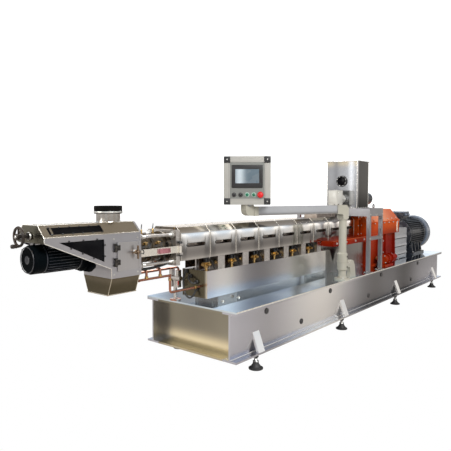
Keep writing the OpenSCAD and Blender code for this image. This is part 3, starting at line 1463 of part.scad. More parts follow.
module selector(i) {
  k = i - 3;
  color([0.06, 0.06, 0.06]) {
    cap(k, cap_r, bezel_t + knob_t);
    at_panel() box(k * button_pitch - knob_t / 2, k * button_pitch + knob_t / 2,
      plate_y - bezel_t - 3 * knob_t, plate_y - bezel_t - knob_t,
      button_z - cap_r, button_z + cap_r);
  }
}
module emergency_stop() {
  color([0.75, 0.05, 0.05]) at_panel() {
    rod_y(plate_y - stop_clear, plate_y + stem_l, cap_r, 2 * button_pitch, button_z);
    rod_y(plate_y - stop_clear - stop_h, plate_y - stop_clear, stop_r, 2 * button_pitch, button_z);
    rod_y(plate_y - stop_clear - stop_h - stop_crown, plate_y - stop_clear - stop_h, stop_r * 0.7,
      2 * button_pitch, button_z);
  }
}

// Cooling: brass valves on the beam, a manifold at its end, copper pipes and cables
valve_r = 9;
valve_s = 22;
valve_h = 24;
coil_r = 15;
coil_h = 32;
valve_y = 58;
module valve(x, y, z) {
  s = valve_h / 2;
  rod_z(z, z + valve_h, valve_r, x, y);
  box(x - valve_s, x + valve_s, y - s, y + s, z + valve_h, z + 2 * valve_h);
  rod_z(z + 2 * valve_h, z + 2 * valve_h + coil_h, coil_r, x, y);
  rod_y(y - 2 * s, y - s, valve_r, x, z + 3 * s);
}
module solenoid_valves() {
  color([0.72, 0.52, 0.2])
    for (i = [1:seg_n - 3]) valve(barrel_x0 + i * seg_l + saddle_l / 2, -valve_y, beam_top_z);
}
header_in = 28;
header_x = deck_x0 + header_in;
header_y0 = 90;
header_y1 = 190;
header_tap = 21.4;
header_rise = 140;
header_s = 28;
header_z = deck_z + header_rise;
header_r = 12;
pipe_r = 7;
pipe_bend = 18;
pipe_in = 50;
jacket_y = -40;
jacket_z = beam_top_z;
run_z = beam_top_z + pipe_r + valve_h / 8;
return_z = jacket_z - 2 * pipe_in;
// A rounded turn at q, from the way a to the way b
function turn(q, a, b, n = 4) = [for (i = [0:n]) q - a * pow(1 - i / n, 2) + b * pow(i / n, 2)];
module water_pipes() {
  ym = (header_y0 + header_y1) / 2;
  s = header_s / 2;
  b = pipe_bend;
  color([0.78, 0.78, 0.76]) {
    rod_z(deck_z, deck_z + pipe_r, header_s + pipe_r, header_x, ym);
    rod_z(deck_z + pipe_r, header_z, header_r, header_x, ym);
    rod_y(header_y0, header_y1, s + over, header_x, header_z);
    for (y = [header_y0 + header_tap, header_y1 - header_tap], k = [-2 * header_s, header_r])
      box(header_x - s, header_x + s, y - header_r, y + header_r,
        header_z + k, header_z + k + header_s + s);
  }
  color([0.45, 0.2, 0.14]) {
    yh = header_y0 + header_tap;
    x1 = head_x1 + pipe_in;
    x2 = plate_x0 + pipe_in / 2;
    swept(concat([[header_x, yh, header_z + header_r + s]],
      turn([header_x, yh, run_z], [0, 0, b], [-b, 0, 0]),
      turn([x1, yh, run_z], [-b, 0, 0], [0, 0, b]), [[x1, yh, rod_zs[0]]]), pipe_r);
    swept([[x1, jacket_y, jacket_z], [x2 + pipe_r, jacket_y, jacket_z]], pipe_r);
    for (x = [x1 + pipe_in, plate_x0 - pipe_in])
      swept(concat([[x, jacket_y, jacket_z + pipe_r]],
        turn([x, jacket_y, jacket_z + pipe_in], [0, 0, b], [0, b, 0]),
        turn([x, 0, jacket_z + pipe_in], [0, b, 0], [0, 0, b]),
        [[x, 0, axis_z - die_body_r]]), pipe_r, [1, 0, 0]);
    swept(concat([[x2, jacket_y, jacket_z - pipe_r]],
      turn([x2, jacket_y, return_z], [0, 0, -b], [b, 0, 0]),
      [[beam_x0 - eps, jacket_y, return_z]]), pipe_r);
  }
}
cable_r = 6;
gland_l = 14;
gland_r = 11;
module gland(x, y, z) { rod_x(x, x + gland_l, gland_r, y, z); }
// Glands on the beam's end face: how far from the middle, and below the beam's top
gland_spots = [[68, 14], [-20, 116], [34, 42], [-20, 74]];
cable_out = 70;
cable_sag = 136;
lead_rises = [22, 34];   // the head's own lead, from its plates' undersides
lead_y = -70;
module cables() {
  x = beam_x0 - gland_l;
  in = gland_l / 2;
  g = [for (p = gland_spots) [x + in, p[0], beam_top_z - p[1]]];
  out = [cable_out, 0, 0];
  sag = [0, 0, cable_sag];
  z = [hood_low_z + lead_rises[0], hood_low_z + lead_rises[1]];
  color([0.03, 0.03, 0.03]) {
    for (p = g) gland(x, p[1], p[2]);
    swept(bend(g[0], g[0] - out - sag / 2, g[1] - out - sag, g[1], 16), cable_r);
    swept(bend(g[2], g[2] - out / 2, g[3] - out / 2 - sag / 5, g[3], 10), cable_r);
    gland(head_x1, lead_y, z[0]);
    gland(plate_x0 - gland_l, lead_y, z[1]);
    swept(bend([head_x1 + in, lead_y, z[0]], [head_x1 + cable_out, lead_y, z[0] - gland_l],
      [plate_x0 - cable_out, lead_y, z[1] - gland_l], [plate_x0 - in, lead_y, z[1]], 14),
      cable_r * 1.3);
  }
}

front_beam();
rear_beam();
cross_beams();
deck_plate();
foot_brackets();
levelling_feet();
support_beam();
pedestals();
barrel_saddles();
barrel_segments();
feed_port();
head_frame();
die_head();
head_plate();
solenoid_valves();
water_pipes();
cables();
gearbox_base();
gearbox_cover();
gearbox_lantern();
gearbox_fittings();
coupling_guard();
main_motor();
motor_cowl();
motor_shaft();
screw_front();
screw_rear();
barrel_cover(1);  // barrel_cover_1
barrel_cover(2);  // barrel_cover_2
barrel_cover(3);  // barrel_cover_3
barrel_cover(4);  // barrel_cover_4
barrel_cover(5);  // barrel_cover_5
barrel_cover(6);  // barrel_cover_6
barrel_cover(7);  // barrel_cover_7
barrel_cover(8);  // barrel_cover_8
barrel_cover(9);  // barrel_cover_9
rear_covers();
feeder_stand();
feed_hopper();
feeder_outlet();
feeder_motor();
feed_screw();
panel_post();
swing_arm();
panel_box();
emergency_stop();
push_button(1);  // push_button_1
push_button(2);  // push_button_2
selector(1);  // selector_1
selector(2);  // selector_2
cutter_hood();
hood_door();
door_latch();
cutter_chute();
exhaust_collar();
cutter_motor();
knife_head();
handwheel();
clamp_bar();
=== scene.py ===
"""Twin-screw food extruder, dressed for the studio: satin stainless, painted castings and fittings."""

import logging
import math
from dataclasses import dataclass
from enum import Enum
from itertools import product
from typing import Callable, Iterable, Sequence

import bpy
from mathutils import Matrix, Vector


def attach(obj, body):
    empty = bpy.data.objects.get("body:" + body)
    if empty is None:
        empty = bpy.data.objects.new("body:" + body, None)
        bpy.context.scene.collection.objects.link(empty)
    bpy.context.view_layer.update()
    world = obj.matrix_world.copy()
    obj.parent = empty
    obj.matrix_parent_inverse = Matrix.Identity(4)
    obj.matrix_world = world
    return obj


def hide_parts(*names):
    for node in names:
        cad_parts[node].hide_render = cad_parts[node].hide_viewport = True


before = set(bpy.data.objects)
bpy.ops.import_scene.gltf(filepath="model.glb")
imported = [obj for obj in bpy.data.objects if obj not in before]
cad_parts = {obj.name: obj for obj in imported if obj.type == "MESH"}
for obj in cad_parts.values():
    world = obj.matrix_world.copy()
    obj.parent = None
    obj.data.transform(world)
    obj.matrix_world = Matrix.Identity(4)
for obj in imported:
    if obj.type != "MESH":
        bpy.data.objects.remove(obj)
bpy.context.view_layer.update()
LOG = logging.getLogger("extruder")

Point = tuple[float, float, float]
Flat = tuple[float, float]
Colour = tuple[float, float, float]
Piece = bpy.types.Object
Tree = bpy.types.NodeTree
Node = bpy.types.Node
Socket = bpy.types.NodeSocket

ORIGIN: Point = (0.0, 0.0, 0.0)
ALONG: Point = (1.0, 0.0, 0.0)
ACROSS: Point = (0.0, 1.0, 0.0)
UPWARDS: Point = (0.0, 0.0, 1.0)


class Axis(Enum):
    """The direction a turned piece or a pipe run points in."""

    X = 0
    Y = 1
    Z = 2


class Grain(Enum):
    """Which way the grinding marks of a sheet run."""

    ALONG = (1.5, 90.0, 90.0)
    UPRIGHT = (90.0, 90.0, 1.5)
    ACROSS = (90.0, 1.5, 90.0)
    NONE = (40.0, 40.0, 40.0)


def circle(centre: Flat, radius: float, angles: Iterable[float]) -> list[Flat]:
    """Points on a circle.

    Args:
        centre: its centre.
        radius: its radius.
        angles: where the points lie, in radians.

    Returns:
        The points.
    """
    return [(centre[0] + radius * math.cos(a), centre[1] + radius * math.sin(a)) for a in angles]


def turns(count: int, start: float = 0.0) -> list[float]:
    """Angles spread evenly round a circle, in radians."""
    return [start + k * 2 * math.pi / count for k in range(count)]


def loop(x0: float, x1: float, y0: float, y1: float, z: float) -> list[Point]:
    """A level, closed route round a rectangle."""
    return [(x0, y0, z), (x1, y0, z), (x1, y1, z), (x0, y1, z), (x0, y0, z)]


# Shader groups


def _socket(tree: Tree, name: str, kind: str, out: bool = False, value: object = None) -> None:
    """Adds one named socket to a node group.

    Args:
        tree: the group's node tree.
        name: the socket's name.
        kind: Float, Vector or Color.
        out: True for an output.
        value: the socket's default, if it has one.
    """
    made = tree.interface.new_socket(name=name, in_out="OUTPUT" if out else "INPUT",
        socket_type="NodeSocket" + kind)
    if value is not None:
        made.default_value = value


def _maths(tree: Tree, kind: str, a: object, b: object = None, clamp: bool = False) -> Socket:
    """Adds a Math node.

    Args:
        tree: the tree it goes into.
        kind: the operation.
        a: first value or socket.
        b: second value or socket.
        clamp: keeps the result between 0 and 1.

    Returns:
        The node's output socket.
    """
    node = tree.nodes.new("ShaderNodeMath")
    node.operation = kind
    node.use_clamp = clamp
    for k, v in enumerate((a, b)):
        if isinstance(v, Socket):
            tree.links.new(v, node.inputs[k])
        elif v is not None:
            node.inputs[k].default_value = v
    return node.outputs[0]


def _mix(tree: Tree, factor: object, a: object, b: object, blend: str = "MIX") -> Socket:
    """Mixes two colours.

    Args:
        tree: the tree it goes into.
        factor: share of the second colour, a number or a socket.
        a: first colour or socket.
        b: second colour or socket.
        blend: the blend mode.

    Returns:
        The mixed colour's socket.
    """
    node = tree.nodes.new("ShaderNodeMix")
    node.data_type = "RGBA"
    node.blend_type = blend
    for k, v in ((0, factor), (6, a), (7, b)):
        if isinstance(v, Socket):
            tree.links.new(v, node.inputs[k])
        elif isinstance(v, tuple):
            node.inputs[k].default_value = (*v, 1.0) if len(v) == 3 else v
        else:
            node.inputs[k].default_value = v
    return node.outputs[2]


def _group(name: str, values: dict[str, object], results: Sequence[str]) -> tuple[Tree, Node, Node]:
    """Starts a node group that takes a vector, some values and gives masks.

    Args:
        name: the group's name.
        values: its inputs after the vector, with their defaults: a number or a vector.
        results: the names of its outputs.

    Returns:
        The tree, its input node and its output node.
    """
    tree = bpy.data.node_groups.new(name, "ShaderNodeTree")
    _socket(tree, "Vector", "Vector")
    for key, value in values.items():
        _socket(tree, key, "Vector" if isinstance(value, tuple) else "Float", value=value)
    for key in results:
        _socket(tree, key, "Float", out=True)
    return tree, tree.nodes.new("NodeGroupInput"), tree.nodes.new("NodeGroupOutput")


def _spread(tree: Tree, value: Socket, strength: Socket, gain: float = 1.0) -> Socket:
    """Spreads a noise about its middle and keeps it between 0 and 1."""
    centred = _maths(tree, "MULTIPLY", _maths(tree, "SUBTRACT", value, 0.5), strength)
    if gain != 1.0:
        centred = _maths(tree, "MULTIPLY", centred, gain)
    return _maths(tree, "ADD", centred, 0.5, clamp=True)


def grain_group() -> Tree:
    """Grinding marks: fine noise drawn out in one direction.

    Returns:
        A group with Vector, Stretch, Contrast in and Height, Mask out.
    """
    tree, inp, out = _group("grinding marks", {"Stretch": Grain.ALONG.value, "Contrast": 0.5},
        ("Height", "Mask"))
    scale = tree.nodes.new("ShaderNodeVectorMath")
    scale.operation = "MULTIPLY"
    tree.links.new(inp.outputs["Vector"], scale.inputs[0])
    tree.links.new(inp.outputs["Stretch"], scale.inputs[1])
    shares = []
    for size, detail, share in ((6.0, 3.0, 0.65), (1.2, 2.0, 0.35)):
        noise = tree.nodes.new("ShaderNodeTexNoise")
        noise.inputs["Scale"].default_value = size
        noise.inputs["Detail"].default_value = detail
        tree.links.new(scale.outputs[0], noise.inputs["Vector"])
        shares.append(_maths(tree, "MULTIPLY", noise.outputs[0], share))
    both = _maths(tree, "ADD", *shares)
    tree.links.new(both, out.inputs["Height"])
    tree.links.new(_spread(tree, both, inp.outputs["Contrast"], 2.0), out.inputs["Mask"])
    return tree


def cloud_group() -> Tree:
    """Broad, soft patches, for painted sheen that drifts over a sheet, dust and paint depth.

    Returns:
        A group with Vector, Size, Sharpness in and Mask out.
    """
    tree, inp, out = _group("soft patches", {"Size": 4.0, "Sharpness": 1.5}, ("Mask",))
    noise = tree.nodes.new("ShaderNodeTexNoise")
    noise.inputs["Detail"].default_value = 2.0
    noise.inputs["Roughness"].default_value = 0.45
    tree.links.new(inp.outputs["Vector"], noise.inputs["Vector"])
    tree.links.new(inp.outputs["Size"], noise.inputs["Scale"])
    tree.links.new(_spread(tree, noise.outputs[0], inp.outputs["Sharpness"]), out.inputs["Mask"])
    return tree


def painted_light_band_group() -> Tree:
    """A soft band of painted reflection, highlight or shade across a piece, at a place along one direction
    of its own space.

    Returns:
        A group with Vector, Direction, Place, Width in and Mask out.
    """
    tree, inp, out = _group("soft band", {"Direction": ALONG, "Place": 0.0, "Width": 0.3}, ("Mask",))
    dot = tree.nodes.new("ShaderNodeVectorMath")
    dot.operation = "DOT_PRODUCT"
    tree.links.new(inp.outputs["Vector"], dot.inputs[0])
    tree.links.new(inp.outputs["Direction"], dot.inputs[1])
    away = _maths(tree, "SUBTRACT", dot.outputs["Value"], inp.outputs["Place"])
    away = _maths(tree, "DIVIDE", away, inp.outputs["Width"])
    square = _maths(tree, "MULTIPLY", away, away)
    mask = _maths(tree, "EXPONENT", _maths(tree, "MULTIPLY", square, -1.0))
    tree.links.new(mask, out.inputs["Mask"])
    return tree


class Groups:
    """The shared shader groups, built once."""

    def __init__(self) -> None:
        """Builds every group."""
        self.grain = grain_group()
        self.cloud = cloud_group()
        # The band group paints reflections, highlights and shade into the finishes' colours.
        self.band = painted_light_band_group()


# Finishes


@dataclass(frozen=True)
class PaintedLightBand:
    """A soft band of painted reflection, highlight or shade on a finish: where it is, how wide and how
    strong.
    """

    direction: Point
    place: float
    width: float
    colour: Colour
    share: float


class Finish:
    """The base of all finishes: makes a material with shared nodes at hand."""

    def __init__(self, name: str, groups: Groups) -> None:
        """Starts an empty Principled material.

        Args:
            name: the material's name.
            groups: the shared shader groups.
        """
        self.material = bpy.data.materials.new(name)
        self.material.use_nodes = True
        self.tree = self.material.node_tree
        self.skin = self.tree.nodes["Principled BSDF"]
        self.groups = groups
        self.place = self.tree.nodes.new("ShaderNodeTexCoord").outputs["Object"]

    def use(self, group: Tree, **values: object) -> Node:
        """Places a shared group with its own values.

        Args:
            group: the group's tree.
            values: inputs by name, numbers, vectors or sockets.

        Returns:
            The group's node.
        """
        node = self.tree.nodes.new("ShaderNodeGroup")
        node.node_tree = group
        self.tree.links.new(self.place, node.inputs["Vector"])
        for key, value in values.items():
            node.inputs[key].default_value = value
        return node

    def bump(self, height: Socket, strength: float, distance: float) -> None:
        """Feeds a height to the skin's normal.

        Args:
            height: the height's socket.
            strength: the bump's strength.
            distance: its depth in metres.
        """
        node = self.tree.nodes.new("ShaderNodeBump")
        node.inputs["Strength"].default_value = strength
        node.inputs["Distance"].default_value = distance
        self.tree.links.new(height, node.inputs["Height"])
        self.tree.links.new(node.outputs["Normal"], self.skin.inputs["Normal"])

    def roughness(self, mask: Socket, low: float, high: float) -> None:
        """Spreads the skin's roughness between two values over a mask."""
        value = _maths(self.tree, "ADD", _maths(self.tree, "MULTIPLY", mask, high - low), low)
        self.tree.links.new(value, self.skin.inputs["Roughness"])

    def colour(self, socket: Socket) -> None:
        """Feeds a colour to the skin."""
        self.tree.links.new(socket, self.skin.inputs["Base Color"])

    def lay_painted_light(self, tone: Socket, bands: Iterable[PaintedLightBand]) -> Socket:
        """Lays soft bands of painted reflection, highlight or shade over a tone, one after the other."""
        for band in bands:
            mask = self.use(self.groups.band, Direction=band.direction, Place=band.place, Width=band.width)
            share = _maths(self.tree, "MULTIPLY", mask.outputs["Mask"], band.share)
            tone = _mix(self.tree, share, tone, band.colour)
        return tone


@dataclass(frozen=True)
class Sheet:
    """Ground or polished stainless sheet: tones with patches of painted sheen and reflection, gloss, marks
    and the bands of painted reflection, highlight and shade that lie on it.
    """

    name: str
    tone: Colour
    shade: Colour
    low: float = 0.2
    high: float = 0.34
    grain: Grain = Grain.ALONG
    marks: float = 0.5
    patches: float = 2.5
    depth: float = 0.25
    bands: tuple[PaintedLightBand, ...] = ()

    def make(self, groups: Groups) -> bpy.types.Material:
        """Builds the material."""
        f = Finish(self.name, groups)
        grain = f.use(groups.grain, Stretch=self.grain.value, Contrast=self.marks)
        # The soft patches mix shade into tone: painted sheen and reflections that drift over the sheet.
        cloud = f.use(groups.cloud, Size=self.patches, Sharpness=2.2)
        tone = _mix(f.tree, cloud.outputs["Mask"], self.shade, self.tone)
        tone = f.lay_painted_light(tone, self.bands)
        share = _maths(f.tree, "MULTIPLY", grain.outputs["Mask"], 0.22 * self.marks)
        f.colour(_mix(f.tree, share, tone, (0.2, 0.2, 0.2), "MULTIPLY"))
        f.roughness(grain.outputs["Mask"], self.low, self.high)
        f.skin.inputs["Metallic"].default_value = 1.0
        f.bump(grain.outputs["Height"], self.depth, 0.0004)
        return f.material


@dataclass(frozen=True)
class Paint:
    """Gloss or satin paint over a casting or a pressing, with a clear coat and a slight orange peel."""

    name: str
    tone: Colour
    shade: Colour
    gloss: float = 0.3
    coat: float = 0.4
    peel: float = 0.12
    cast: float = 60.0
    mirror: float = 0.5
    wear: Colour = (0.3, 0.3, 0.3)
    bands: tuple[PaintedLightBand, ...] = ()

    def make(self, groups: Groups) -> bpy.types.Material:
        """Builds the material."""
        f = Finish(self.name, groups)
        cloud = f.use(groups.cloud, Size=3.0, Sharpness=2.0)
        speck = f.use(groups.cloud, Size=self.cast, Sharpness=3.0)
        tone = _mix(f.tree, cloud.outputs["Mask"], self.shade, self.tone)
        # Bands of painted highlight and shade go over the paint's tone.
        tone = f.lay_painted_light(tone, self.bands)
        scuff = f.use(groups.cloud, Size=22.0, Sharpness=9.0)
        scuffed = _maths(f.tree, "SUBTRACT", scuff.outputs["Mask"], 0.8, clamp=True)
        f.colour(_mix(f.tree, _maths(f.tree, "MULTIPLY", scuffed, 0.5), tone, self.wear))
        f.roughness(speck.outputs["Mask"], self.gloss, self.gloss + 0.16)
        f.skin.inputs["Coat Weight"].default_value = self.coat
        f.skin.inputs["Coat Roughness"].default_value = 0.12
        f.skin.inputs["Specular IOR Level"].default_value = self.mirror
        f.bump(speck.outputs["Mask"], self.peel, 0.0006)
        return f.material


@dataclass(frozen=True)
class Metal:
    """Turned, cast or drawn metal in one colour family, with stains in soft patches."""

    name: str
    tone: Colour
    stain: Colour
    low: float = 0.25
    high: float = 0.5
    stains: float = 30.0
    share: float = 0.6

    def make(self, groups: Groups) -> bpy.types.Material:
        """Builds the material."""
        f = Finish(self.name, groups)
        blot = f.use(groups.cloud, Size=self.stains, Sharpness=3.5)
        pits = f.use(groups.cloud, Size=220.0, Sharpness=2.5)
        share = _maths(f.tree, "MULTIPLY", blot.outputs["Mask"], self.share)
        f.colour(_mix(f.tree, share, self.tone, self.stain))
        f.roughness(blot.outputs["Mask"], self.low, self.high)
        f.skin.inputs["Metallic"].default_value = 1.0
        f.bump(pits.outputs["Mask"], 0.2, 0.0004)
        return f.material


@dataclass(frozen=True)
class Polymer:
    """Moulded plastic or rubber, with a fine spark-eroded grain."""

    name: str
    tone: Colour
    shade: Colour
    gloss: float = 0.35
    grain: float = 700.0
    mirror: float = 0.5

    def make(self, groups: Groups) -> bpy.types.Material:
        """Builds the material."""
        f = Finish(self.name, groups)
        cloud = f.use(groups.cloud, Size=14.0, Sharpness=2.5)
        fine = f.use(groups.cloud, Size=self.grain, Sharpness=2.0)
        tone = _mix(f.tree, cloud.outputs["Mask"], self.shade, self.tone)
        f.colour(tone)
        f.roughness(fine.outputs["Mask"], self.gloss, self.gloss + 0.15)
        f.skin.inputs["Specular IOR Level"].default_value = self.mirror
        f.bump(fine.outputs["Mask"], 0.1, 0.0002)
        return f.material


